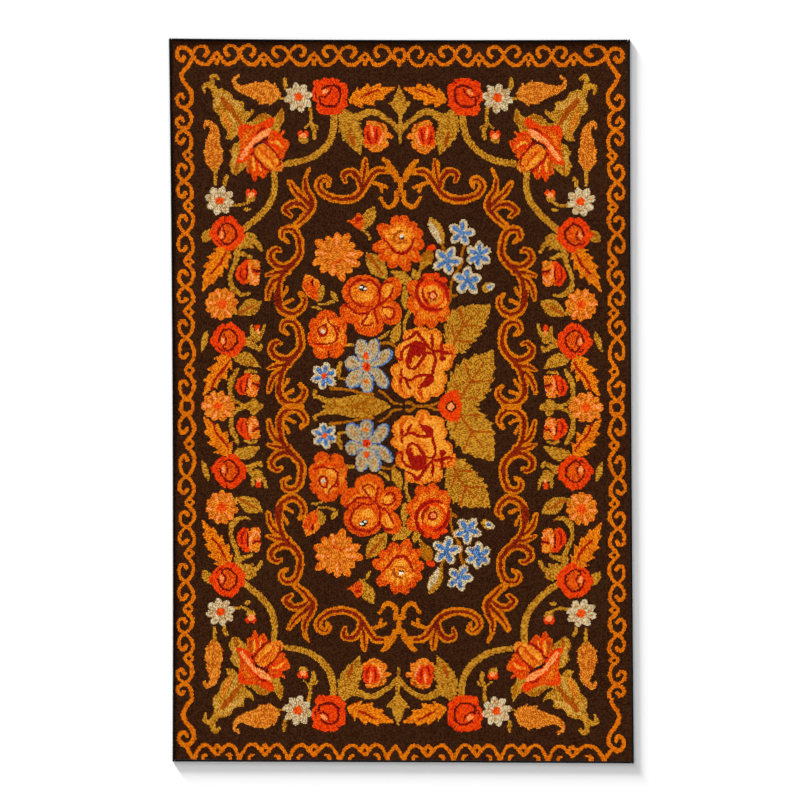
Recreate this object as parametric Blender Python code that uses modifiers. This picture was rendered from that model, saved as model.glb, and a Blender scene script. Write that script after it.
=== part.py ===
"""A flat woven floor rug, lying on the floor: one woven cloth, and a whipped edge in four lengths round it.

The rug lies in the XY plane with its underside at Z = 0, its long side along Y and its middle at the origin.
Like most hand-woven rugs it is a little out of square, and its sides are drawn in between the corners.
"""

import bmesh
import bpy

# The whole rug, whipped edge included, in metres
CORNERS = {
    "near_left": (-0.7630, -1.2020),
    "near_right": (0.7750, -1.2080),
    "far_left": (-0.7750, 1.2080),
    "far_right": (0.7620, 1.2040),
}
# How far the middle of each side lies inside the straight line between its corners
DRAWN_IN = {"left": 0.0057, "right": 0.0023, "near": 0.0008, "far": 0.0031}

CLOTH_THICK = 0.004
EDGE_WIDE = 0.008
EDGE_THICK = 0.006
CLEARANCE = 0.0003

# Rounding of the pieces' rims, and the strips that each one is drawn with
CLOTH_ROUND = 0.0008
EDGE_ROUND = 0.0022
ROUND_STEPS = 3
STEPS_ACROSS = 12
STEPS_ALONG = 18

# Colours are linear
CLOTH_COLOUR = (0.040, 0.018, 0.010, 1.0)
EDGE_COLOUR = (0.008, 0.008, 0.009, 1.0)
WOOL_ROUGHNESS = 0.92


def mix(start, end, share):
    return start + (end - start) * share


def side_length(first, second):
    (x0, y0), (x1, y1) = CORNERS[first], CORNERS[second]
    return ((x1 - x0) ** 2 + (y1 - y0) ** 2) ** 0.5


WIDTH = (side_length("near_left", "near_right") + side_length("far_left", "far_right")) / 2
LENGTH = (side_length("near_left", "far_left") + side_length("near_right", "far_right")) / 2


def on_rug(across, along):
    """Where a point of the square chart, in metres from its near left corner, lies on the uneven rug."""
    u = across / WIDTH
    v = along / LENGTH
    near = [mix(a, b, u) for a, b in zip(CORNERS["near_left"], CORNERS["near_right"])]
    far = [mix(a, b, u) for a, b in zip(CORNERS["far_left"], CORNERS["far_right"])]
    bulge_along = 4 * v * (1 - v)
    bulge_across = 4 * u * (1 - u)
    x = mix(near[0], far[0], v) + bulge_along * mix(DRAWN_IN["left"], -DRAWN_IN["right"], u)
    y = mix(near[1], far[1], v) + bulge_across * mix(DRAWN_IN["near"], -DRAWN_IN["far"], v)
    return x, y


def wool(name, colour):
    material = bpy.data.materials.new(name)
    material.use_nodes = True
    shader = material.node_tree.nodes["Principled BSDF"]
    shader.inputs["Base Color"].default_value = colour
    shader.inputs["Roughness"].default_value = WOOL_ROUGHNESS
    shader.inputs["Metallic"].default_value = 0.0
    return material


def flat_piece(name, across, along, steps, thick, rounding, material):
    """A slab that covers a stretch of the chart, given as (from, to) in metres each way, with its underside at Z = 0."""
    shape = bmesh.new()
    bmesh.ops.create_grid(shape, x_segments=steps[0], y_segments=steps[1], size=0.5)
    for corner in shape.verts:
        x, y = on_rug(mix(*across, corner.co.x + 0.5), mix(*along, corner.co.y + 0.5))
        corner.co = (x, y, thick)
    mesh = bpy.data.meshes.new(name)
    shape.to_mesh(mesh)
    shape.free()
    mesh.materials.append(material)

    piece = bpy.data.objects.new(name, mesh)
    thickness = piece.modifiers.new("thickness", "SOLIDIFY")
    thickness.thickness = thick
    thickness.offset = -1
    rims = piece.modifiers.new("rims", "BEVEL")
    rims.width = rounding
    rims.segments = ROUND_STEPS
    rims.limit_method = "ANGLE"
    return piece


def make_cloth():
    inset = EDGE_WIDE + CLEARANCE
    return flat_piece(
        "woven_cloth",
        across=(inset, WIDTH - inset),
        along=(inset, LENGTH - inset),
        steps=(STEPS_ACROSS, STEPS_ALONG),
        thick=CLOTH_THICK,
        rounding=CLOTH_ROUND,
        material=wool("cloth wool", CLOTH_COLOUR),
    )


def make_edges():
    """The whipped edge: two lengths down the long sides, and two between them across the ends."""
    material = wool("edge wool", EDGE_COLOUR)
    ends = (EDGE_WIDE + CLEARANCE, WIDTH - EDGE_WIDE - CLEARANCE)
    layout = {
        "edge_left": ((0, EDGE_WIDE), (0, LENGTH), (1, STEPS_ALONG)),
        "edge_right": ((WIDTH - EDGE_WIDE, WIDTH), (0, LENGTH), (1, STEPS_ALONG)),
        "edge_near": (ends, (0, EDGE_WIDE), (STEPS_ACROSS, 1)),
        "edge_far": (ends, (LENGTH - EDGE_WIDE, LENGTH), (STEPS_ACROSS, 1)),
    }
    return [
        flat_piece(name, across, along, steps, EDGE_THICK, EDGE_ROUND, material)
        for name, (across, along, steps) in layout.items()
    ]


def main():
    for old in list(bpy.data.objects):
        bpy.data.objects.remove(old)
    rug = bpy.data.collections.new("woven rug")
    bpy.context.scene.collection.children.link(rug)
    for piece in [make_cloth(), *make_edges()]:
        rug.objects.link(piece)


main()
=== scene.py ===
"""A woven floral floor rug, dressed for its picture: cloth, whipped edge, floor, light and camera.

The pattern is painted on a chart of the loom's stitches, counted from the rug's middle. What quarters share
is drawn once and looked up mirrored. Every stitch becomes part of a face in its yarn's colours.
"""

import bpy
import numpy as np
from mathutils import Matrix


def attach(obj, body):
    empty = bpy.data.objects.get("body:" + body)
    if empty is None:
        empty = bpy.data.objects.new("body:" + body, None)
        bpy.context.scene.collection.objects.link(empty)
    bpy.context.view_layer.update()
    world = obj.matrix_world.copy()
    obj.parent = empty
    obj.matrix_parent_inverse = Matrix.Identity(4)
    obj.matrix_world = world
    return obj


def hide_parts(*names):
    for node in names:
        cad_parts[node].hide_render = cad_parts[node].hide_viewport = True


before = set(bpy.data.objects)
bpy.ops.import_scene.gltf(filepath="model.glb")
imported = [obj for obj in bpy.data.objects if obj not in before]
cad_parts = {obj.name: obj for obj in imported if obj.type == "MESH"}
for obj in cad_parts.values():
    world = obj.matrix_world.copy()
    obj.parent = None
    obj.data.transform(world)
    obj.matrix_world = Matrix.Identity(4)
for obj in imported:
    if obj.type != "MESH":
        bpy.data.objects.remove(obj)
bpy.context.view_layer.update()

# The whole rug, whipped edge included, in metres, as in the CAD source
CORNERS = {
    "near_left": (-0.7630, -1.2020),
    "near_right": (0.7750, -1.2080),
    "far_left": (-0.7750, 1.2080),
    "far_right": (0.7620, 1.2040),
}
DRAWN_IN = {"left": 0.0057, "right": 0.0023, "near": 0.0008, "far": 0.0031}
CLOTH_THICK = 0.004
EDGE_WIDE = 0.008
EDGE_THICK = 0.006
CLEARANCE = 0.0003

# The loom's chart: stitches across and along the cloth, and fine squares to a stitch
COLUMNS, ROWS = 455, 717
FINE = 2
# How far the pattern's sheets reach from the rug's middle, and how far past the lines they are mirrored about
REACH_ACROSS, REACH_ALONG = 232, 364
PAST_ACROSS, PAST_ALONG = 4, 12
# The lowest row that the far half's sheets are looked up on
LOWEST_ROW = -10
# Smooth lines have a point about this often, in stitches, and round outlines one every so many degrees
SPACING = 1.5
OVAL_DEGREES = 12
LOBES_DEGREES = 3
# Stitches are counted from the rug's middle, and the near half mirrors the far one about this row
MIRROR_ROW = -5.5
# Below this row the near end's border is drawn by itself, on a sheet that reaches a little further up
NEAR_BORDER = -296
NEAR_MARGIN = 6
# The near half isn't quite a mirror image: rows out from the mirror row, and the far rows that they repeat
NEAR_ROWS = {
    "edging": ((0, 10, 220, 300), (0, 8, 217.5, 300)),
    "sides": ((0, 40, 60, 105, 215, 280, 330, 356), (0, 42.5, 62.5, 105.5, 215.5, 284.5, 332.5, 358.5)),
    "scrolls": ((0, 80, 130, 220, 280, 356), (0, 80, 131.5, 222.5, 284, 360)),
    "spray": ((0, 40, 85, 175, 356), (0, 42, 86.5, 178, 360)),
}
# Rows up from the rug's middle, and how many stitches lower the far half's borders and side flowers lie there
FAR_DROP = {
    "edging": ((100, 140, 200, 250), (0, 2, 2, 0)),
    "sides": ((-5, 5, 35, 60, 280, 305), (0, 2, 3, 1, 1, -0.8)),
}
# The pattern leans left towards the rug's ends: places across, and the stitches that it leans there. It grows
# from one row to another, up from the rug's middle in the far half, out from the mirror row in the near one
FAR_LEAN = {"across": (0, 50, 80, 165), "by": (0, 5, 5, 0), "from": 240, "to": 310}
NEAR_LEAN = {"across": (-200, -60, 0, 60, 110, 170, 215), "by": (3, 5, 6, 9, 9, 5, 2), "from": 80, "to": 330}
# The same for the borders of the two ends
BORDER_LEAN = {"far": ((0, 30, 75, 175, 205), (0, 3, 6, 8, 0)), "near": ((60, 110, 175, 200), (0, 2, 4, 0))}
# The weaver's hand strays this many stitches from the chart, in slow drifts and in small steps
DRIFT = 0.4
STEP = 0.3

# Each yarn's deep and light shade, in screen red, green and blue, and how unevenly it took the dye
YARNS = {
    "ground": ((38, 13, 0), (62, 33, 13), 0.9),
    "border": ((184, 80, 0), (226, 120, 0), 0.8),
    "scroll": ((174, 80, 0), (222, 124, 2), 0.8),
    "core": ((92, 12, 0), (140, 38, 4), 0.8),
    "gold": ((136, 74, 0), (206, 146, 38), 0.8),
    "olive": ((134, 68, 0), (184, 108, 10), 0.8),
    "brown": ((138, 52, 0), (182, 84, 8), 0.8),
    "leaf": ((178, 70, 0), (238, 136, 8), 0.9),
    "rib": ((124, 6, 0), (176, 30, 10), 0.8),
    "feather": ((176, 80, 0), (230, 142, 42), 1.2),
    "shade": ((156, 64, 0), (208, 110, 22), 1.0),
    "red": ((198, 30, 0), (236, 74, 0), 0.9),
    "maroon": ((80, 6, 0), (122, 22, 10), 0.8),
    "peach": ((224, 108, 36), (250, 164, 94), 1.0),
    "cream": ((160, 128, 80), (220, 200, 160), 1.2),
    "tan": ((150, 96, 42), (206, 164, 106), 1.2),
    "heart": ((202, 46, 0), (242, 90, 12), 0.9),
    "blue": ((42, 80, 134), (102, 140, 184), 1.0),
    "sky": ((136, 116, 84), (198, 174, 132), 1.1),
    "orange": ((192, 72, 0), (242, 138, 28), 1.0),
    "ember": ((178, 38, 0), (232, 96, 4), 1.0),
    "amber": ((212, 112, 8), (248, 166, 54), 0.8),
    "straw": ((164, 102, 18), (216, 164, 72), 1.1),
    "crimson": ((126, 4, 0), (174, 26, 8), 0.8),
    "white": ((214, 192, 160), (248, 238, 222), 0.8),
    "ink": ((14, 10, 10), (40, 30, 26), 0.8),
}
CODE = {name: n for n, name in enumerate(YARNS)}


def smooth(points, closed=False):
    """Points along a smooth line through the given ones (a Catmull-Rom spline)."""
    points = np.asarray(points, float)
    if closed:
        ring = np.vstack([points[-1:], points, points[:2]])
    else:
        ring = np.vstack([2 * points[:1] - points[1:2], points, 2 * points[-1:] - points[-2:-1]])
    out = []
    for a, b, c, d in zip(ring, ring[1:], ring[2:], ring[3:]):
        count = max(2, int(np.hypot(*(c - b)[:2]) / SPACING) + 1)
        t = (np.arange(count) / count)[:, None]
        square = (2 * a - 5 * b + 4 * c - d) * t**2
        cube = (3 * b - a - 3 * c + d) * t**3
        out.append(0.5 * (2 * b + (c - a) * t + square + cube))
    if not closed:
        out.append(points[-1:])
    return np.vstack(out)


class Sheet:
    """A fine squared sheet that yarn codes are painted on, over a stretch of the chart in stitches."""

    def __init__(self, low, high):
        self.low = np.array(low, float)
        wide, tall = ((np.array(high) - low) * FINE).astype(int)
        self.cells = np.zeros((tall, wide), np.int8)

    def window(self, points, margin):
        """The squares round some points, and the places of their columns and rows."""
        first = np.floor((points.min(0) - margin - self.low) * FINE).astype(int)
        last = np.ceil((points.max(0) + margin - self.low) * FINE).astype(int) + 1
        tall, wide = self.cells.shape
        x0, y0 = np.clip(first, 0, (wide, tall))
        x1, y1 = np.clip(last, 0, (wide, tall))
        x = self.low[0] + (np.arange(x0, x1) + 0.5) / FINE
        y = self.low[1] + (np.arange(y0, y1) + 0.5) / FINE
        return self.cells[y0:y1, x0:x1], x[None, :], y[:, None]

    def look(self, x, y):
        """The yarns at points of the chart."""
        column = ((x - self.low[0]) * FINE).astype(int)
        row = ((y - self.low[1]) * FINE).astype(int)
        return self.cells[row, column]

    def fill(self, points, yarn):
        """Paints the inside of an outline."""
        cells, x, y = self.window(points, 0.5)
        inside = np.zeros(cells.shape, bool)
        for (ax, ay), (bx, by) in zip(points, np.roll(points, -1, 0)):
            if ay == by:
                continue
            inside ^= ((ay > y) != (by > y)) & (x < (bx - ax) * (y - ay) / (by - ay) + ax)
        cells[inside] = CODE[yarn]

    def trail(self, points, widths, yarn):
        """Paints a line of changing half-width."""
        cells, x, y = self.window(points, widths.max() + 0.5)
        inside = np.zeros(cells.shape, bool)
        for (ax, ay), (bx, by), wa, wb in zip(points, points[1:], widths, widths[1:]):
            dx, dy = bx - ax, by - ay
            t = (((x - ax) * dx + (y - ay) * dy) / max(dx * dx + dy * dy, 1e-9)).clip(0, 1)
            inside |= (x - ax - t * dx) ** 2 + (y - ay - t * dy) ** 2 < (wa + (wb - wa) * t) ** 2
        cells[inside] = CODE[yarn]


class Pen:
    """Draws on a sheet at a place, turned by degrees anticlockwise and scaled."""

    def __init__(self, sheet, x=0.0, y=0.0, turn=0.0, size=1.0):
        self.sheet = sheet
        self.place = (x, y, turn, size)

    def at(self, x, y, turn=0.0, size=1.0):
        return Pen(self.sheet, x, y, turn, size)

    def put(self, points):
        """The places on the sheet of points measured from the pen."""
        x, y, turn, size = self.place
        angle = np.radians(turn)
        c, s = np.cos(angle) * size, np.sin(angle) * size
        u, v = np.asarray(points, float).T
        return np.column_stack([x + u * c - v * s, y + u * s + v * c])

    def stroke(self, yarn, widths, *points):
        """A smooth line; widths are its half-widths at even steps along it."""
        size = self.place[3]
        line = self.put(smooth(points))
        along = np.linspace(0, 1, len(line))
        widths = np.atleast_1d(widths) * size
        widths = np.interp(along, np.linspace(0, 1, len(widths)), widths)
        self.sheet.trail(line, widths, yarn)

    def strokes(self, yarn, *lines):
        """Smooth lines in one yarn, each given as its half-widths and its points."""
        for widths, *points in lines:
            self.stroke(yarn, widths, *points)

    def shape(self, yarn, *points, round=True):
        """A filled outline, smooth unless its corners are to stay."""
        self.sheet.fill(self.put(smooth(points, True) if round else points), yarn)

    def oval(self, yarn, x, y, long, wide, turn=0.0):
        a = np.radians(np.arange(0, 360, OVAL_DEGREES))
        t = np.radians(turn)
        u, v = long * np.cos(a), wide * np.sin(a)
        points = np.column_stack([x + u * np.cos(t) - v * np.sin(t), y + u * np.sin(t) + v * np.cos(t)])
        self.sheet.fill(self.put(points), yarn)

    def ovals(self, yarn, *rows):
        """Ovals in one yarn, each given as its middle, its half-lengths each way and its turn."""
        for row in rows:
            self.oval(yarn, *row)

    def lobes(self, yarn, radius, count, depth, turn=0.0):
        """A round shape with rounded lobes and sharp notches."""
        a = np.radians(np.arange(0, 360, LOBES_DEGREES))
        wave = np.abs(np.cos((a - np.radians(turn)) * count / 2))
        r = radius * (1 - depth + depth * wave)
        self.sheet.fill(self.put(np.column_stack(polar(r, a))), yarn)

    def petals(self, yarn, count, inner, outer, wide, turn=0.0):
        for n in range(count):
            a = turn + 360 * n / count
            x, y = polar((inner + outer) / 2, np.radians(a))
            self.oval(yarn, x, y, (outer - inner) / 2, wide, a)


class EdgePen(Pen):
    """A pen whose +X runs one way along the rug's edge, and whose +Y points out of the rug."""

    def __init__(self, sheet, x, y, along, out):
        super().__init__(sheet, x, y)
        self.ways = np.array([along, out])

    def put(self, points):
        return self.place[:2] + np.asarray(points, float) @ self.ways


def polar(reach, angle):
    """The point at a distance from the pen, in a direction in radians."""
    return reach * np.cos(angle), reach * np.sin(angle)


def leaf(pen, length, wide, yarn="gold", teeth=0, vein=None, vein_wide=0.8, bend=0.0, ribs=0, notch=0.35,
         broad_at=0.8, full=0.8):
    """A leaf along the pen's +X from its base to its tip, broadest nearer the base if broad_at is small.

    Teeth are notched by a share of the half-width and lean to the tip. A small full makes its base blunt.
    """

    def half_width(share):
        return wide * np.sin(np.pi * share**broad_at) ** (full + (1 - full) * t)

    def spine(share):
        return length * share, bend * np.sin(np.pi * share)

    if teeth:
        t = np.repeat(np.linspace(0, 1, teeth + 1), 2)[1:-1]
        half = half_width(0.08 + 0.88 * t) * np.where(np.arange(len(t)) % 2 == 0, 1 - notch, 1.0)
        half[0] *= 0.5
    else:
        t = np.linspace(0, 1, 13)
        half = half_width(t)
    x, middle = spine(t)
    up = np.column_stack([x, middle + half])
    down = np.column_stack([x, middle - half])[::-1]
    outline = np.vstack([[[0, 0]], up, [[length * 1.04, 0]], down]) if teeth else np.vstack([up, down])
    pen.sheet.fill(pen.put(outline), yarn)
    for n in range(ribs):
        share = 0.18 + 0.6 * n / ribs
        x, y = spine(share)
        reach = 0.72 * wide * np.sin(np.pi * (share + 0.1) ** broad_at) ** full
        for side in (1, -1):
            pen.stroke(vein, vein_wide * 0.8, (x, y), (x + reach * 0.75, y + side * reach))
    if vein:
        pen.stroke(vein, (vein_wide, vein_wide, vein_wide * 0.5), *map(spine, (0.08, 0.3, 0.55, 0.8)))


# The border

# A foot of the border's waves belongs to the lozenges that are nearer to it than this many stitches
BESIDE = {"far": 30, "side": 34, "near": 30}


def pairs(feet, diamonds, side):
    """Each foot with each of the lozenges beside it."""
    return [(foot, diamond) for foot in feet for diamond in diamonds if abs(diamond - foot) < BESIDE[side]]


def border_half(pen, length, rise):
    """A wave of the border, from a node at the pen's origin to the middle of the next lozenge."""
    k = length / 24.5
    wide = 1.6
    # the curl over the outside, back from its blob
    pen.stroke("border", (2.1, 1.9, wide, wide, wide, wide), (12.2 * k, -0.8 * rise),
               (15.2 * k, 2.5 * rise), (13.8 * k, 7.4 * rise), (8.5 * k, 9.0 * rise), (3.2 * k, 6.2 * rise),
               (0, 0.2 * rise))
    # the dip on the inside, up to the lozenge
    pen.stroke("border", (wide, wide, 1.9, 1.9, wide, wide), (0, 0), (3.6 * k, -5.2 * rise),
               (9.0 * k, -9.0 * rise), (15.0 * k, -9.3 * rise), (19.2 * k, -5.0 * rise),
               (22.0 * k, -1.0 * rise), (24.5 * k, 1.0 * rise))


def lozenge(pen, rise):
    """A lozenge of the border with a dark eye and a short stalk."""
    pen.lobes("border", 5.4, 4, 0.25, turn=90)
    pen.stroke("border", (1.9, 1.9), (0, -3 * rise), (0, -6.5 * rise))
    pen.lobes("ground", 1.9, 4, 0.1)


def ring(pen, reach):
    """The squarish ring at the middle of a border."""
    pen.lobes("border", reach + 2.0, 4, 0.12, turn=45)
    pen.lobes("ground", reach - 1.7, 4, 0.12, turn=45)


def border(sheet):
    """The border of the far end and of the left side down to its middle."""
    far = 344.8
    nodes = (-206, -159.5, -110, -60.5, -8.5)
    diamonds = (-182, -135.5, -85, -34)
    for node, diamond in pairs(nodes, diamonds, "far"):
        way = np.sign(diamond - node)
        border_half(EdgePen(sheet, node, far, along=(way, 0), out=(0, 1)), abs(diamond - node), 1.0)
    for diamond in diamonds:
        lozenge(Pen(sheet, diamond, far - 2.3), 1.0)
    ring(Pen(sheet, 0, far + 0.8), 6.0)
    pen = Pen(sheet)
    pen.stroke("border", 1.9, (0, 339), (0, 335.8))
    # the corner's curl and the long stroke down from it
    pen.strokes(
        "border",
        ((2.4, 2.2, 2, 2, 2, 2, 2), (-214.5, 342), (-217, 338.5), (-221.2, 342.5), (-220.6, 349.5),
         (-215, 351.6), (-210, 349.5), (-206, 344.5)),
        (2.1, (-206, 342), (-209.5, 335), (-215.5, 328), (-217.4, 322.5), (-213.5, 315), (-209, 308.5),
         (-208, 301), (-210, 295), (-215, 291.5)),
    )
    side = -215.3
    # three curls in a row below the corner
    pen.strokes(
        "border",
        ((2, 1.7, 1.7, 1.7, 1.7, 1.7), (-216.2, 301.8), (-218.8, 305.6), (-222.6, 301), (-221, 294),
         (-215, 291)),
        (1.8, (-215, 291), (-209.6, 286), (-208.2, 279), (-211, 273), (-215, 271.8), (-220, 273),
         (-222.2, 278), (-218.5, 282), (-215.8, 278.8)),
        ((2, 1.7, 1.7, 1.7, 1.7, 1.7), (-215.5, 260.5), (-218.5, 256.2), (-222.4, 259), (-221, 265.5),
         (-215, 270.2)),
        (1.8, (-215, 270.2), (-210, 266), (-208, 260), (-209, 252.5), (-212, 248.5)),
    )
    nodes = (219.5, 168.5, 113.5, 63, 1)
    diamonds = (245, 195, 140, 88.5, 30)
    for node, diamond in pairs(nodes, diamonds, "side"):
        way = np.sign(diamond - node)
        border_half(EdgePen(sheet, side, node, along=(0, way), out=(-1, 0)), abs(diamond - node), 0.78)
    for diamond in diamonds:
        lozenge(Pen(sheet, side + 3.2, diamond, turn=90), 0.2)
    ring(Pen(sheet, side, -5.5), 6.3)


def near_arch(pen, foot, lozenge):
    """Half an arch of the near end, from a foot at the rug's end up and down to the side of a lozenge."""
    k = (lozenge - foot) / 23
    points = ((0, -359), (2.4, -352.6), (6.4, -345.8), (11.4, -343.3), (15.8, -345.4), (18.6, -349.4))
    pen.stroke("border", (2.2, 1.7, 1.6, 1.8, 1.6, 1.6), *((foot + k * x, y) for x, y in points))
    # the curl under it, cut short by the rug's end
    points = ((9.2, -359), (9.6, -354.9), (12.6, -353.6))
    pen.stroke("border", (1.6, 1.9, 1.3), *((foot + k * x, y) for x, y in points))


def near_border(sheet):
    """The near end's border, which isn't a mirror image of the far one."""
    pen = Pen(sheet)
    feet = (-208, -163, -113.7, -63.4, -15, 0.5, 50.5, 98, 147, 200.5)
    diamonds = (-184.5, -137.3, -88.6, -38, 24.5, 74, 122, 172.3)
    for foot, diamond in pairs(feet, diamonds, "near"):
        near_arch(pen, foot, diamond)
    for diamond in diamonds:
        middle = pen.at(diamond, -348.6)
        middle.lobes("border", 6.4, 4, 0.22, turn=90)
        middle.lobes("ground", 1.9, 4, 0.1)
    pen.stroke("border", (2.2, 1.6, 1.6, 1.6, 2), (-15, -355), (-10.6, -349), (-7, -345), (-4, -349),
               (0.5, -357))
    # the corners' curls, and the long strokes up from them
    pen.strokes(
        "border",
        ((2, 2, 2.1, 2.2, 2.1, 2.1, 2, 1.8, 1.8), (-209.4, -292), (-210.5, -299), (-214.8, -304),
         (-218.3, -310), (-218.6, -316), (-215.6, -322), (-210.6, -327.4), (-207.8, -333.6),
         (-208.6, -339.6), (-213.6, -343.8), (-219, -343.4), (-222.6, -338.6), (-221, -333),
         (-216.6, -331.6), (-214.6, -334.6)),
        (1.9, (-214.6, -344), (-212.4, -351), (-208.6, -357)),
        ((2, 2, 2.1, 2.2, 2.1, 2.1, 2, 1.8, 1.8), (209.4, -292), (208.4, -299), (210.6, -304.4),
         (214.6, -310), (215.4, -316), (212.4, -323), (207.6, -329), (204.4, -335.4), (205.4, -342.6),
         (210.4, -347.4), (216.4, -347), (219.8, -341.6), (218, -335.4), (213.4, -334), (211.6, -338.6)),
        (1.9, (208.6, -346.4), (205, -351), (200.5, -357)),
    )


# The flowers

def rose(pen, inner="red"):
    """A red side rose, 17 stitches to its squarish rim, with an open dark ring and a light spot."""
    rim = ((-5, 17.4), (4, 17.8), (10, 16.4), (13, 12.6), (17, 11), (18, 3), (16.6, -4), (18, -9),
           (13.4, -12.6), (11, -17), (2, -17.8), (-10, -17), (-14, -12), (-13, -7.5), (-17, -4), (-17.4, 4),
           (-15.4, 8), (-16, 13), (-11, 16.4), (-8.6, 14.6))
    pen.shape("red", *rim, round=False)
    ring = ((-10.4, -2.4), (-9.4, -7.4), (-4, -9.6), (4.6, -9.6), (9.6, -4.6), (10.4, 1), (9.6, 7),
            (4.4, 10.4), (-2, 9.8), (-7.4, 6.8))
    pen.shape(inner, *ring, round=False)
    for start, end in zip(ring, ring[1:]):
        pen.stroke("maroon", 1.2, start, end)
    pen.shape("peach", (-8.4, 1.4), (-7.2, 4.6), (-3.8, 7), (-1.4, 6.4), (-2.4, 3.4), (-5, 1.2),
              round=False)
    pen.strokes(
        "maroon",
        (0.8, (-10, -0.4), (-5, -1), (-0.6, 2.4), (1.4, 7.4)),
        ((0.5, 0.8, 0.4), (-13.4, 3.4), (-13.6, -1.4), (-12, -4.4)),
        ((0.9, 0.4), (11.4, 14.6), (9, 11.6)),
    )


def daisy(pen):
    """A cream daisy, 14 stitches to its rim, its petals parted by dark notches."""
    petals = 8
    turn = 12
    pen.petals("cream", petals, 2, 14.6, 3.9, turn)
    pen.lobes("cream", 8.0, petals, 0.1)
    for n in range(petals):
        a = np.radians(turn + 360 * (n + 0.5) / petals)
        pen.stroke("tan", (0.5, 0.9), polar(6, a), polar(9.4, a))
        if n % 3 == 0:
            a = np.radians(turn + 360 * n / petals)
            pen.oval("tan", *polar(9.6, a), 2.4, 1.3, np.degrees(a))
    pen.lobes("tan", 5.2, 5, 0.3)
    pen.lobes("heart", 4.3, 5, 0.1)


def marigold(pen):
    """A peach daisy with many lobes, 15 stitches to its rim."""
    pen.lobes("orange", 16.4, 11, 0.18, turn=8)
    for n in range(11):
        a = np.radians(8 + 360 * (n + 0.5) / 11)
        b = np.radians(8 + 360 * n / 11)
        near, far = (7, 11) if n % 2 else (9, 13.5)
        pen.stroke("peach" if n % 2 else "feather", (0.7, 1.4, 0.8), polar(7, b), polar(14, b + 0.05))
        pen.stroke("shade", (0.5, 1, 0.5), polar(near, a), polar(far, a + 0.06))
    pen.lobes("heart", 5.0, 5, 0.25, turn=20)


def bud(pen):
    """A fat half-open bud, 13 stitches to its rim: red petals round a light heart, parted by dark lines."""
    pen.lobes("ember", 12.5, 5, 0.16, turn=20)
    pen.ovals("orange", (5, 8, 6.4, 4.6, 25), (5, -6.5, 6.4, 5.4, -40))
    pen.shape("red", (-13, -2), (-9.5, 6), (-4, 12.5), (0, 11), (-0.5, 2), (-2, -6), (-5, -12), (-9, -9.5))
    pen.stroke("feather", (0.9, 1.8, 0.9), (2, 12), (7, 9.4), (10.4, 5.4))
    pen.strokes(
        "peach",
        ((1, 1.9, 1.4), (0.4, 6), (1.6, 0), (4.4, -5.4)),
        ((0.8, 1.3, 0.8), (4, -9.4), (8.4, -6.4), (10.6, -2.4)),
    )
    pen.stroke("crimson", (0.8, 1.4, 0.7), (-7.5, 4), (-7.8, -3), (-4.4, -8.4))
    pen.strokes(
        "maroon",
        ((0.7, 1.3, 0.7), (3.4, 4.4), (7, 2), (11.4, 2.4)),
        ((0.6, 1, 0.6), (-2, 8), (-1.4, 0), (-1.8, -6.4)),
    )
    pen.strokes("ground", ((1.4, 0.6), (0.5, -13), (0.2, -8.5)), ((1.2, 0.5), (14, 1), (10.6, 1)))


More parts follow.
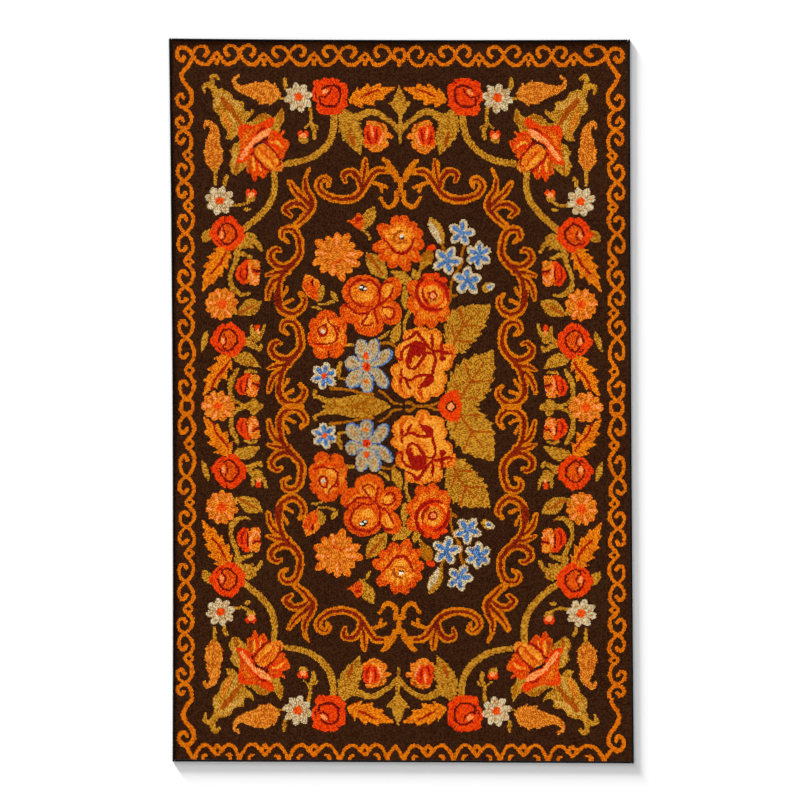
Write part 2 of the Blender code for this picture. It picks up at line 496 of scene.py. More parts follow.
def lily(pen):
    """The corner's red lily, opening down and to the right: cup, light band, tongue and ragged petals."""
    # petals right of the tongue and below it
    pen.shape("ember", (-133, 264), (-128, 271), (-121, 268.5), (-117, 263.5), (-110.5, 260), (-111, 254),
              (-114, 248.5), (-120, 245), (-127, 250))
    pen.shape("ember", (-124, 266), (-115, 270.5), (-115, 268), (-121, 263), round=False)
    pen.shape("ember", (-121, 248), (-113.5, 246), (-117, 242.5), (-122, 244), round=False)
    pen.shape("red", (-130, 259), (-122, 263), (-114.5, 257), (-118, 250.5), (-125, 252.5))
    pen.stroke("red", (1, 2.4, 1), (-127, 268), (-122, 267), (-118, 263))
    pen.stroke("amber", (0.8, 1.6, 0.8), (-128, 259), (-122, 258.5), (-117, 254))
    pen.shape("ember", (-151, 246), (-153, 238), (-153.4, 227.5), (-149, 226), (-147, 219.5),
              (-144.6, 219.8), (-141.8, 226), (-138.5, 222.5), (-135.5, 223), (-131, 230.5), (-141, 246),
              round=False)
    pen.stroke("brown", (0.6, 1.3, 0.6), (-150, 243), (-149.5, 236), (-150.5, 229))
    pen.stroke("amber", (0.8, 1.8, 0.6), (-146, 243), (-145.5, 236), (-146, 229.5))
    pen.stroke("red", (0.6, 1.2, 1.6, 0.8), (-142.6, 240), (-142.4, 234), (-143.6, 229), (-144.6, 223))
    pen.stroke("amber", (0.5, 1.1, 0.5), (-140.4, 238), (-139.4, 233), (-138.6, 229.5))
    pen.stroke("red", (0.5, 1.3, 0.6), (-137.4, 232), (-137, 228), (-137.2, 225))
    # the tongue between its dark lines
    pen.shape("orange", (-143, 254), (-137, 258), (-127, 250.5), (-119, 242), (-115.5, 236), (-119.5, 230),
              (-127, 231.5), (-137, 237), (-146, 247))
    pen.stroke("amber", (0.9, 2.2, 2, 0.8), (-141, 248.5), (-135, 242), (-130, 237.6), (-125.5, 233.6))
    pen.stroke("ember", (0.6, 1.6, 1.4, 0.8), (-141, 253), (-134, 247), (-128, 240), (-126, 236))
    pen.stroke("feather", (0.6, 1.4, 1.2), (-118.5, 240), (-117, 236), (-120, 232))
    pen.oval("amber", -123, 240.4, 2.4, 1.8, 40)
    pen.strokes(
        "crimson",
        ((1.5, 1.1, 1.1, 1.2, 0.8), (-136, 261), (-131, 255.5), (-124.6, 249.4), (-120.4, 243),
         (-119.4, 237.6), (-123, 234.8)),
        ((1.2, 1.3, 1.5, 1.7, 0.7), (-146.6, 249.5), (-143.4, 242.5), (-138.4, 237), (-133, 232),
         (-129, 230.8)),
    )
    # the cup and its light band
    pen.shape("red", (-162, 272), (-157, 276.5), (-147, 276), (-139, 278), (-132, 282.6), (-127, 283),
              (-126, 278), (-130, 272.5), (-137, 263), (-147, 250), (-152, 240.5), (-161.5, 236.5),
              (-163.5, 239.5), (-160.5, 246), (-160, 258))
    pen.stroke("ember", (2, 4.4, 4.6, 3, 1.2), (-157, 252), (-155.5, 260), (-153, 267), (-146.5, 271),
               (-139, 274))
    pen.stroke("orange", (0.8, 2.2, 0.8), (-155.6, 256), (-154.4, 263), (-149, 268.6))
    pen.stroke("crimson", (0.6, 1.3, 0.8), (-143, 268), (-138.6, 271.8), (-134, 273.4))
    pen.stroke("peach", (1.8, 2.7, 2.2, 1.9, 3, 3.6, 2.2), (-158, 242.4), (-154.6, 247.6), (-150.4, 254),
               (-146, 260), (-140.4, 263.8), (-135, 267.4), (-131.4, 270.6))
    pen.stroke("maroon", (0.8, 1.5, 0.8), (-137.4, 259.6), (-134.4, 262), (-131.6, 263))
    pen.stroke("ink", (0.8, 1.3, 1), (-146.2, 253.6), (-143, 256.6), (-138.6, 258.2))


def corner(sheet):
    """The corner spray: stems, a lily in its calyx, feather leaves, daisies and sprigs."""
    pen = Pen(sheet)
    # stems under everything
    pen.strokes(
        "gold",
        ((3.2, 3.4, 3.4, 3.2, 3.2, 3), (-65.5, 290), (-65.3, 276), (-69, 263), (-77, 252.5), (-88, 244.3),
         (-99, 240.2), (-113, 238)),
        ((3, 3.3, 3.3, 3.2, 3), (-126, 230), (-126, 214), (-130, 199), (-140, 186), (-149, 178),
         (-157, 171.5)),
    )
    # the calyx: a big leaf behind the lily with two tendrils, and a lobe on each side of it
    pen.shape("gold", (-186, 308), (-176, 309.5), (-169, 306.5), (-164, 299.5), (-155, 298),
              (-154.6, 290.5), (-150, 288.6), (-145, 292.4), (-146, 287), (-154, 280), (-156, 262),
              (-162.5, 266), (-167, 260), (-174.5, 260.6), (-172, 268), (-178, 275), (-180.5, 284),
              (-187, 290), (-187, 297), (-183, 303), round=False)
    pen.strokes(
        "gold",
        ((4.4, 3.2, 2.4, 2.4, 1.8), (-182, 304), (-186, 312), (-187, 319), (-184.6, 322.8), (-180.6, 320)),
        ((3, 2.4, 2.2, 1.2), (-186, 311), (-191, 313.6), (-195.6, 311), (-194, 305.6)),
    )
    pen.strokes(
        "straw",
        ((1.5, 3, 3.4, 1.6), (-174, 305), (-170, 300), (-162, 294.6), (-157, 292)),
        ((1.5, 2.8, 2), (-184.4, 292), (-182, 297.6), (-179, 304)),
        ((0.8, 2.4, 1.2), (-170, 286), (-166, 278), (-163, 268)),
    )
    pen.stroke("brown", (2, 3, 2.4, 2, 1.6), (-177, 300), (-172, 294), (-167, 289.6), (-163.6, 284),
               (-158.6, 277))
    pen.stroke("feather", (1, 3, 3.2, 1.4), (-176.6, 290), (-175, 283), (-172, 276), (-169.6, 269))
    pen.shape("gold", (-158, 277), (-148, 280), (-141, 286), (-134, 288), (-129.4, 285), (-127, 282.6),
              (-122.6, 286.4), (-118, 292.6), (-115.8, 286), (-116.2, 280), (-119.4, 275), (-121, 269.6),
              (-127, 270), (-140, 272), round=False)
    pen.strokes(
        "olive",
        ((0.8, 2.4, 1.6), (-144, 281.4), (-137, 284.6), (-130, 282.6)),
        ((1, 2.2, 1), (-118, 288), (-119.4, 282), (-121, 277)),
    )
    pen.shape("gold", (-159, 260), (-166, 256), (-170, 249), (-167.6, 243), (-171, 236), (-169, 228),
              (-165, 225), (-160, 228.6), (-152, 235.6), (-150, 243), round=False)
    pen.stroke("straw", (0.8, 2.2, 1.2), (-163, 253), (-165, 245), (-165.6, 237))
    pen.stroke("brown", (0.6, 1.6, 0.8), (-163.6, 238), (-163, 233), (-164, 227.6))
    lily(pen)
    # feather leaves with hooked tips
    top = pen.at(-119, 303, 165)
    leaf(top, 38, 12.6, "feather", teeth=4, notch=0.2, broad_at=0.8)
    for x, y, l in ((4, 0, 8), (14, 1, 7), (22, -1, 7), (9, 5, 7), (17, 6, 6), (9, -6, 7), (18, -6, 7)):
        top.stroke("shade", (0.5, 1.2, 0.5), (x, y), (x + l / 2, y + 0.8), (x + l, y * 0.9))
    pen.stroke("feather", (5.6, 4, 3, 2, 1.5), (-149, 308.5), (-156, 309.5), (-162, 312.5), (-165, 318.5),
               (-161, 322.5))
    side = pen.at(-185.5, 230, 93)
    leaf(side, 44, 10.4, "feather", teeth=4, notch=0.16, broad_at=0.72)
    for x, y, l in ((4, 0, 10), (16, 1, 16), (7, 5, 10), (9, -5, 9), (20, 5, 9), (22, -4, 9)):
        side.stroke("shade", (0.5, 1.2, 0.5), (x, y), (x + l / 2, y + 0.3), (x + l, y * 0.9))
    pen.stroke("feather", (4.4, 4, 2.6, 1.5), (-184, 264), (-186.5, 273), (-193, 278.5), (-195.3, 273.5))
    pen.strokes("gold", ((1.2, 1.2), (-121, 301), (-112, 301)), ((2, 1.6), (-185, 231), (-185.5, 217)))
    daisy(pen.at(-101, 302))
    daisy(pen.at(-180.5, 200.5, 20))
    pen.oval("gold", -114.2, 316, 6.5, 2.2, 95)
    pen.stroke("gold", (1.6, 2.2, 1.6), (-176, 216), (-175.5, 220), (-173.3, 224))
    # sprigs with small buds
    pen.strokes(
        "gold",
        ((2, 1.6, 1.8, 2.4, 2), (-90, 291.5), (-88.6, 284), (-88.4, 277.5), (-85.2, 271), (-85.6, 264)),
        (0.9, (-88.5, 279), (-92, 276), (-95, 273.3)),
        (0.9, (-87, 277), (-83, 275.5), (-81.5, 272.5)),
    )
    small_bud(pen.at(-96.5, 264.5, 90))
    small_bud(pen.at(-150, 205.5, 90))
    pen.stroke("gold", 1.4, (-167, 196.6), (-160, 196), (-155, 197.5), (-151, 200))
    pen.oval("gold", -153.5, 191.5, 3.4, 2.0)


def small_bud(pen):
    """A little red bud that opens towards +X."""
    pen.oval("gold", -2.5, 0, 4.2, 4.8)
    pen.ovals("red", (2.6, 2.8, 3.8, 2.6), (2.6, -2.8, 3.8, 2.6))
    pen.oval("peach", 0.6, 0, 2.8, 3.4)


def top_row(sheet):
    """What lies between the corner spray and the middle of the far end."""
    pen = Pen(sheet)
    # palmette and its arching stems
    pen.strokes(
        "gold",
        ((1.3, 1.3, 2.6), (0, 259), (0, 268), (0, 276)),
        ((3.6, 2.2, 2.2), (0, 271), (0, 279), (0, 290)),
        ((2, 2.4, 2.4, 2.6, 3.6, 4, 3.4), (-2, 271), (-7, 278), (-14, 282.5), (-21, 287), (-31, 288.5),
         (-44, 283.5), (-57, 284)),
    )
    leaf(pen.at(0, 286, 90), 28, 7.2, "gold", teeth=0, broad_at=0.7)
    pen.shape("gold", (0, 288), (-6, 291), (-12.4, 298), (-4, 299.5), (4, 299), (7, 297), (12.3, 302),
              (9.6, 294.5), (4, 289), round=False)
    pen.stroke("gold", (1.4, 1.2), (0, 308), (0, 313.5))
    # the broad leaf beside the bud
    leaf(pen.at(-56, 291, -70), 46, 12, "gold", teeth=5, notch=0.22, broad_at=0.9)
    pen.stroke("gold", (3.6, 4), (-57, 285), (-52, 276))
    pen.stroke("brown", (1, 2.6, 1), (-50, 270), (-48, 262), (-46, 255))
    pen.stroke("gold", (2.6, 3.2, 2), (-46, 268), (-40, 265), (-37, 258))
    half_open(pen.at(-23, 265))
    rose(pen.at(-70, 304))
    # the serrated leaf
    big = pen.at(-51, 299, 16)
    leaf(big, 47, 11.6, "leaf", teeth=4, notch=0.42, broad_at=0.9)
    big.stroke("rib", (0.9, 1.3, 1.2, 0.8), (12, 0), (19, 1), (26, 2.2), (32, 2.4))


def half_open(pen):
    """The bud beside the middle: striped red petals on the left, light scalloped ones round the rest."""
    pen.ovals("orange", (-3, 11.5, 7.5, 4, -12), (5, 8, 6, 5, -35), (11, 1, 5, 3, -15),
              (6, -6, 6.5, 5, -50), (-1, -12, 7.5, 4.4, 8), (-8, -9, 5, 3, 20), (0, 0, 9, 12, 0))
    pen.ovals("feather", (-2, 12, 4, 1.5, -12), (8, 7, 3, 1.6, -60), (8, -4, 3.6, 1.8, -70),
              (0, -12.4, 4.6, 2, 8))
    pen.shape("red", (-13, 4), (-9.5, 11), (-3, 10.5), (3, 9), (5, 1), (2.4, -7), (-3, -8.4), (-9, -8.6),
              (-13, -7), (-12, -1))
    pen.strokes(
        "peach",
        ((0.6, 1.3, 0.6), (-5.6, 9), (-4.4, 3), (-4.2, -2)),
        ((0.6, 1.3, 0.9), (6.4, 3.4), (4.4, -3), (1.4, -7.6)),
    )
    pen.strokes(
        "crimson",
        ((0.8, 1.5, 1.2), (-9.4, 4), (-8.6, -2), (-6, -7)),
        ((0.7, 1.6, 0.7), (0, 7.4), (0, 0), (-1.6, -6.4)),
    )
    pen.stroke("brown", (0.6, 1.2, 0.6), (2, 14), (5.4, 10.4), (6.6, 5))


def side_column(sheet):
    """The column of roses, buds, marigolds and leaves down the left side."""
    pen = Pen(sheet)
    # stems
    pen.strokes(
        "gold",
        ((2.6, 2.6, 2.4, 2.2, 2), (-162, 156), (-164, 143), (-167, 134), (-170.3, 125), (-169.8, 112)),
        ((2.4, 2.6, 2, 1.2), (-170, 116), (-165, 109.5), (-159, 106.3), (-152, 107.8)),
        ((2.4, 3.4, 3.4, 2.6, 1.8), (-164, 150), (-159, 157.5), (-150, 159.5), (-143.5, 157),
         (-140, 150.5)),
        ((1.2, 1.8, 1.6), (-157, 153), (-151, 155), (-149, 153)),
        ((2.6, 2.4, 1.6), (-165, 147.5), (-158, 146.5), (-150, 143.5)),
        ((2, 2.6, 1.8), (-157, 163), (-151, 166), (-146, 163.5)),
    )
    leaf(pen.at(-188, 173, -128), 18, 5, "gold", broad_at=1.1)
    leaf(pen.at(-173, 156, -120), 52, 12.4, "leaf", teeth=5, notch=0.4, broad_at=0.85)
    pen.stroke("rib", (0.8, 1.5, 1.3, 1.1), (-175.5, 148.5), (-179.5, 140), (-184, 133.5), (-190, 127.5))
    rose(pen.at(-173.5, 167.5, 45, 0.93), "ember")
    bud(pen.at(-152, 128))
    marigold(pen.at(-180, 97))
    pen.stroke("gold", (1.8, 2.4), (-169, 88.8), (-158, 88))
    leaf(pen.at(-165, 87, 28), 29, 7.8, "gold", vein="brown", vein_wide=1.4, broad_at=1.1)
    # second pair
    pen.strokes(
        "gold",
        ((2, 2.6, 3), (-157, 60), (-151, 62.5), (-145.5, 68)),
        ((3, 2, 1.4), (-147, 66), (-149.4, 70), (-150, 75.5)),
        ((3, 2, 1.4), (-143, 66), (-138.6, 70), (-136.8, 77)),
    )
    pen.shape("gold", (-149, 68), (-140, 70), (-141, 61), (-148, 60))
    pen.oval("red", -144.2, 74.5, 2.8, 3.2)
    pen.oval("peach", -143.6, 70, 1.8, 2.2)
    pen.stroke("gold", (2.6, 2.6, 2, 2), (-157, 58.5), (-150, 57), (-142.5, 53), (-140.5, 55.5))
    leaf(pen.at(-193.5, 71, -108), 22, 3.2, "gold", broad_at=0.9)
    leaf(pen.at(-172, 48, -123), 48, 12.2, "leaf", teeth=4, notch=0.5, broad_at=0.85)
    pen.stroke("rib", (0.8, 1.5, 1.2, 1), (-173, 41), (-179, 32), (-186, 23.5), (-190, 13))
    leaf(pen.at(-169, 45, -18), 29, 6.4, "gold", bend=3, broad_at=0.8)
    pen.oval("gold", -160, 44, 6, 4.4, 20)
    rose(pen.at(-173, 61.5, 50, 0.9), "ember")
    pen.strokes(
        "gold",
        ((1.6, 3, 2.2, 2, 2.2), (-164.5, 34), (-167, 28), (-170.6, 20), (-171, 8), (-165.5, -0.5),
         (-156, -5.5)),
        ((1.4, 1.8, 1.4), (-157, 31), (-152, 32.8), (-146, 31.5)),
    )
    bud(pen.at(-153.5, 17.5, -8, 0.95))
    pen.stroke("gold", (2.6, 3.4, 3), (-158, -5.5), (-150, -5.5), (-143, -5.5))
    pen.at(-147.5, -5.5).lobes("gold", 9.5, 4, 0.42, turn=0)
    marigold(pen.at(-184, -6, 0, 1.08))


# The oval frame of scrolls

# A scroll's dark core runs over this stretch of it
CORE_FROM, CORE_TO = 0.05, 0.97


def band(pen, widths, *points, core=(1.2, 2.0, 2.0, 1.3)):
    """Draws an orange scroll, and gives the line of its dark core, which is drawn after its neighbours."""
    pen.stroke("scroll", widths, *points)
    line = smooth(points)
    return pen, core, line[int(len(line) * CORE_FROM) : int(len(line) * CORE_TO)]


def cores(bands):
    """The scrolls' dark cores, given by band."""
    for pen, core, line in bands:
        line = pen.put(line)
        widths = np.interp(np.linspace(0, 1, len(line)), np.linspace(0, 1, len(core)), core)
        pen.sheet.trail(line, widths, "core")


def column_scroll(pen, stretch, heart):
    """One S-scroll of the long sides, from 80 above the pen's origin down to its stretched foot."""

    def low(x, y):
        return x, 30 - (30 - y) * stretch

    bands = [
        band(pen, (2.2, 3.6, 4.2, 4.4, 4.6, 4.6, 4.4, 4.2, 4.2, 4.4, 4.6, 4.8, 4.4, 4, 2.4), (113, 66),
             (118.8, 70.5), (117, 77), (110.5, 78.6), (104.5, 75), (101.2, 66), (101, 54), (107, 44.5),
             (116, 36), low(121.3, 25), low(122.3, 12), low(118.6, 3), low(108, -0.6), low(99.6, 4),
             low(96.6, 11), low(101, 16.5)),
        band(pen, (4, 4.6, 4.6, 4.2, 2.2), (103.5, 50), (111, 42.5), (120.5, 41.5), (128.8, 47),
             (129.8, 54), (124.5, 58.3), (120, 56.5)),
        band(pen, (3.8, 4.2, 3.6, 1.8), (113, 36), (121.5, 35.6), (128, 34.2), (134, 32),
             core=(1.6, 1.4, 0.9)),
        band(pen, (3.4, 4, 3.6, 2.6), (121, 30), (126.5, 26.5), (131, 19), (133.3, 9),
             core=(1.5, 1.5, 0.9)),
    ]
    pen.strokes(
        "scroll",
        ((1.6, 1.6, 1.8), low(118.5, 14), low(115.6, 17.5), low(113.6, 21.5)),
        ((1.8, 2, 1.8), low(118.5, 7.5), low(113, 9.5), low(108.4, 11.6)),
    )
    cores(bands)
    pen.stroke("core", (1, heart * 0.9, heart, 1.6), low(122, 23), low(123, 16), low(122.6, 10),
               low(120.4, 4))


def corner_scroll(pen):
    """The frame's corner: two prongs over a curl, and the long scroll towards the middle."""
    bands = [
        band(pen, (3.6, 4.4, 4.8, 4.4, 4, 2.2), (105.5, 174.5), (96, 183), (88, 194), (89.5, 203),
             (94.5, 212), (95, 224), core=(0.8, 1.6, 2.4, 1.6, 1.2)),
        band(pen, (3.6, 4.6, 4.4, 3.2), (89, 194), (97, 202), (104.5, 209), (110.5, 218.5),
             core=(2, 1.8, 1.4, 0.8)),
        band(pen, (3.2, 4.2, 4.4, 4.2, 2.6), (92, 190), (99, 196), (108, 196.5), (115, 190.5),
             (109, 184.5)),
    ]
    pen.stroke("scroll", (2.2, 2, 1.6), (95, 222), (93.5, 227), (91, 232))
    cores(bands)
    bands = [
        band(pen, (2.2, 4, 4.2, 4.2, 4.4, 4.6, 4.6, 4.6, 4.6, 4.4, 3.6), (72.5, 213.5), (71.5, 219),
             (76, 221.8), (81.5, 217), (80, 209.5), (72, 203.5), (60, 201), (49, 202.5), (40, 208),
             (32.5, 219), (24.5, 229), (12, 229.5), core=(0.6, 1.3, 1.6, 1.8, 1.8, 1.6)),
        band(pen, (3, 4, 4.2, 4, 2.2), (39, 212), (41.5, 222.5), (49, 229), (56.5, 226), (54.5, 218.5)),
        band(pen, (3, 4, 4, 1.8), (38.5, 212), (36.5, 222), (35.4, 232), (34.6, 241), core=(1, 1.2, 0.8)),
    ]
    pen.strokes(
        "scroll",
        ((1.6, 2, 1.8), (38.6, 226), (37.6, 234), (37.4, 239)),
        ((2.2, 3.4, 3.4, 2.8, 2), (4, 220.5), (6, 227), (10, 233), (13.5, 238), (17, 240.5)),
        ((1.6, 2.2, 2, 1.6), (27, 218), (21, 216.6), (16.5, 214.6), (13, 213)),
        ((2.2, 1.6), (19.5, 215), (18.2, 209.5)),
        ((1.9, 2.3, 2.4, 2.2, 1.7), (4.2, 208.5), (3.8, 200), (8.6, 194.4), (14, 194.2), (19.6, 202.6)),
    )
    cores(bands)


def frame_scrolls(sheet):
    """The right half of the oval frame's scrolls."""
    right = Pen(sheet)
    corner_scroll(right)
    column_scroll(right.at(0.5, 93), 1.2, 4.0)
    column_scroll(right, 1.07, 2.4)
    right.stroke("scroll", 2.6, (0, 221), (0, 207))
    right.oval("core", 0, 206.5, 1.4, 1.0)
    right.stroke("scroll", (2.4, 3.2, 2.6), (101, -5.5), (109, -5.5), (116.5, -5.5))


# The bouquet

def chrysanthemum(pen):
    """A shaggy light orange flower, 26 stitches to its longest petals."""
    for n in range(13):
        a = np.radians(3 + 360 / 13 * n)
        reach = (26, 21.5, 25, 23, 21)[n % 5]
        pen.oval("orange", 0.6 * reach * np.cos(a), 0.6 * reach * np.sin(a), 0.42 * reach, 4.8,
                 np.degrees(a) + 8)
    pen.lobes("orange", 16, 13, 0.1)
    for n in range(13):
        a = np.radians(3 + 360 / 13 * n)
        b = a + 0.24
        inner, outer = (7, 13) if n % 2 else (11, 18)
        pen.stroke("peach" if n % 3 == 0 else "feather", (0.7, 1.6, 0.9), polar(9, a), polar(20, a + 0.06))
        pen.stroke("shade", (0.5, 1.1, 0.5), polar(inner, b), polar(outer, b))
    for x, reach in ((-5, 5), (-1, 7.5), (3.4, 5.5)):
        pen.stroke("feather", (0.7, 1.3, 0.7), (x, -reach), (x + 0.6, reach))
    pen.stroke("ember", (0.8, 1.8, 0.8), (-3, -7), (2, -6), (6, -2))


def peony(pen):
    """The orange flower at the top of the bouquet: eleven petals, a light heart and a dark smile."""
    petals = ((98, 26), (74, 27), (48, 25), (25, 26), (-4, 26), (-38, 27), (-72, 29), (-108, 26),
              (-140, 25), (-168, 27), (142, 27))
    for a, reach in petals:
        c, s = polar(1, np.radians(a))
        pen.oval("ember", 0.62 * reach * c, 0.66 * reach * s, 0.39 * reach, 6.4, a)
    pen.oval("ember", 0, 0, 18, 19)
    for a, reach in petals:
        c, s = polar(1, np.radians(a))
        pen.oval("orange", 0.52 * reach * c, 0.54 * reach * s, 0.25 * reach, 2.8, a)
    pen.oval("orange", 0, 4, 12, 13)
    for a in (60, 95, 130, 20, 170):
        c, s = polar(1, np.radians(a))
        pen.oval("amber", 9 * c, 4 + 9 * s, 5.5, 1.9, a)
    pen.oval("amber", 2, -4, 6, 3.4)
    pen.stroke("crimson", (0.9, 1.3, 1.5, 1.7, 1.5, 1.3, 0.9), (-15.5, 4), (-9, -3), (-4, -9.5), (2, -11),
               (8, -9), (12.5, -2.5), (15, 4))
    pen.strokes(
        "brown",
        ((0.8, 1.8, 1.4, 0.8), (-4, 1), (-5, 6), (-1, 10), (4, 11)),
        ((0.8, 1.2, 0.8), (-2, -1), (3, 0), (7, 2)),
    )
    pen.oval("white", 2.6, 6.0, 2.0, 1.7)
    pen.stroke("ink", (0.8, 1), (1, 3.6), (4.6, 4.6))


def speck(pen):
    """A rose's black and white eye."""
    pen.oval("ink", 0, 0, 4.4, 2.8, -30)
    pen.ovals("white", (-1.9, 0.9, 1.8, 1.3), (1.9, -1.2, 1.4, 1.1))


def open_rose(pen):
    """The large orange rose of the bouquet: five broad petals round an eye, drawn in dark lines."""
    petals = ((-8, 11, 19.5, 16, 10), (21, 13, 10, 12.5, -30), (21, -11, 11, 12.5, 20),
              (-1, -23, 15, 12, 0), (-19, -12, 12, 9, -35), (4, 0, 17, 17, 0))
    pen.ovals("ember", *petals)
    for x, y, long, wide, turn in petals[:4]:
        pen.oval("orange", 0.86 * x, 0.86 * y, 0.68 * long, 0.6 * wide, turn)
    pen.ovals("amber", (19, 11, 3.6, 7.5, -24), (-3, 4, 6, 4), (-3, -17, 6.5, 3.4, 55))
    pen.oval("orange", -16, -10, 8, 2.6, -35)
    lines = (((3, 21), (-7, 22), (-15.5, 19.5), (-20.5, 11.5), (-16, 1.5), (-8, -4.6), (3, -5)),
             ((-25, -2), (-19, -6), (-13, -11), (-4, -11.5), (1, -9.5)),
             ((-1, 23), (4, 19), (9, 13), (10, 3), (8, -4), (3, -8)), ((10, 14), (15, 19), (22, 20.5)),
             ((23, 14), (21, 8), (17, 2), (10, -3)),
             ((14, -5), (20, -5.2), (25, -10), (21, -17.5), (15, -12), (13, -6)),
             ((1, -9), (-4, -17), (-8, -22), (-1, -24.5), (4, -21)), ((5, -8), (7, -16), (8.5, -22)))
    for line in lines:
        pen.stroke("crimson", (0.9, 1.4, 1.2, 0.9), *line)
    pen.oval("amber", 17.5, -10.5, 4.6, 3.2, -40)
    speck(pen.at(pen.place[0] - 7, pen.place[1] + 14))


def ruffled_rose(pen):
    """The orange rose at the left of the bouquet, with a ringed light eye."""
    pen.ovals("ember", (0, 17, 11, 8, 0), (12, 8, 8, 10, 0), (13, -6, 7, 10, 0), (8, -17, 8, 8, 0),
              (-6, -18, 9, 8, 0), (-14, -5, 7, 9, 0), (-11, 9, 8, 8, 0), (0, 0, 15, 18, 0))
    pen.ovals("orange", (1, 1, 12.5, 14), (-7, -14, 5, 4), (14, -2, 3.4, 9))
    pen.ovals("amber", (0, 12, 3, 5, 20), (2, -5, 5.5, 3, 30))
    for line in (((0, 17), (1.5, 12), (7, 7), (9.5, 0), (9, -6), (3, -10)),
                 ((-15, -9), (-7, -11), (1, -9.5)),
                 ((-2, 10), (-6, 9), (-9.5, 4), (-8, -0.5), (-4, -1.5), (-1, 3), (-2, 10)),
                 ((6, 9), (10, 8), (11.5, 3))):
        pen.stroke("crimson", (0.8, 1.4, 1.0), *line)
    pen.stroke("red", (0.8, 1.6, 0.8), (-12, -12), (-2, -14), (6, -12))
    pen.oval("cream", -5, 3.2, 2.3, 2.1)
    pen.stroke("ground", (0.6, 1), (1, -17), (1.5, -26))


def forget_me_not(pen):
    """The grey flower: seven petals with thin blue edges and brown hearts, and red eyes."""
    petals = ((-5.8, 17, 10.5, 6.4, 97), (6.4, 17, 10.5, 6.4, 80), (-15.5, 2.5, 7.6, 7.2, 0),
              (-13, -13.5, 10.5, 7.2, 50), (-0.5, -17.5, 10.5, 6.6, 92), (14.5, -13.5, 11, 6.2, -60),
              (17.6, 8.6, 11, 5.4, 50))
    for x, y, long, wide, turn in petals:
        pen.oval("blue", x * 1.03 + 0.7, y * 1.03 - 0.7, long + 0.6, wide + 0.9, turn)
    pen.oval("sky", 0, 0, 11, 12)
    for x, y, long, wide, turn in petals:
        pen.oval("sky", x, y, long, wide, turn)
        pen.oval("tan", x * 1.08, y * 1.08, long * 0.5, wide * 0.36, turn)
    for a in (30, 78, 150, 200, 245, 290, 345):
        c, s = polar(1, np.radians(a))
        pen.stroke("blue", 0.7, (6 * c, 7 * s), (14 * c, 14 * s))
    pen.oval("heart", -0.5, 9.5, 2.8, 4)
    pen.oval("red", -0.2, -2.5, 4.2, 4.8)
    pen.stroke("maroon", 0.7, (0.5, -1), (0.8, -3.2))
    pen.oval("orange", -0.5, -17.5, 2.0, 3.4, 90)


def star(pen, petals=5, heart="blue"):
    """A small blue star flower with cream edges, 13 stitches to its tips."""
    for n in range(petals):
        a = 360 * n / petals
        c, s = polar(1, np.radians(a))
        pen.oval("cream", 7.2 * c, 7.2 * s, 6.9, 4.6, a)
    pen.oval("cream", 0, 0, 6, 6)
    for n in range(petals):
        a = 360 * n / petals + (4, -5, 2)[n % 3]
        c, s = polar(1, np.radians(a))
        pen.oval("blue", 6.6 * c, 6.6 * s, 4.6, 2.3, a)
    pen.oval(heart, 0, 0, 2.8, 2.8)


def swirl_rose(pen):
    """A rose of dark red rings with orange outer petals to its left and below."""
    pen.ovals("ember", (-18, 8, 8.5, 8, 0), (-18, -8, 8.5, 9, 0), (-11, -16, 9, 8, 0),
              (-13, -25, 6.5, 6, 0), (-2, -24, 7, 9, 0), (9, -17, 8, 10, 0))
    pen.ovals("orange", (-16, 7, 5, 4.5), (-15, -9, 5, 5), (-10, -19, 5, 5), (-1, -21, 4, 5),
              (9, -16, 4.4, 5))
    for x, y in ((-5, 19), (3, 19.5), (10, 15)):
        pen.oval("red", x, y, 3.4, 5.2, 90)
    pen.oval("red", 0, 0, 17.5, 18)
    pen.stroke("ember", (1, 2.2, 1), (-7, 14), (-1, 18), (5, 15))
    pen.strokes(
        "amber",
        ((0.8, 1.8, 0.8), (-11, 9), (-12.5, 2), (-10, -6)),
        ((0.8, 1.8, 0.8), (4, -14), (11, -9.5), (14, -3)),
    )
    pen.strokes(
        "crimson",
        ((1.3, 1.9, 1.9, 1.9, 1.8, 1.2), (-9, 18), (-15, 10), (-16, -1), (-10, -11), (0, -15), (8, -13.5)),
        ((1, 1.9, 1.9, 1.2), (2, 15.5), (9, 12), (14, 5), (15.5, -5)),
    )
    pen.oval("orange", 0, 0, 10.5, 10.5)
    pen.oval("amber", 2, 4, 7, 4.6, -30)
    pen.oval("feather", 1, -5, 6, 3.4, 10)
    pen.stroke("crimson", (1, 1.7, 1.4), (-10, 6), (-9.5, -2), (-5, -8.5))
    pen.lobes("crimson", 5.2, 5, 0.15)
    pen.oval("peach", 0.3, -0.2, 2.7, 2.9)


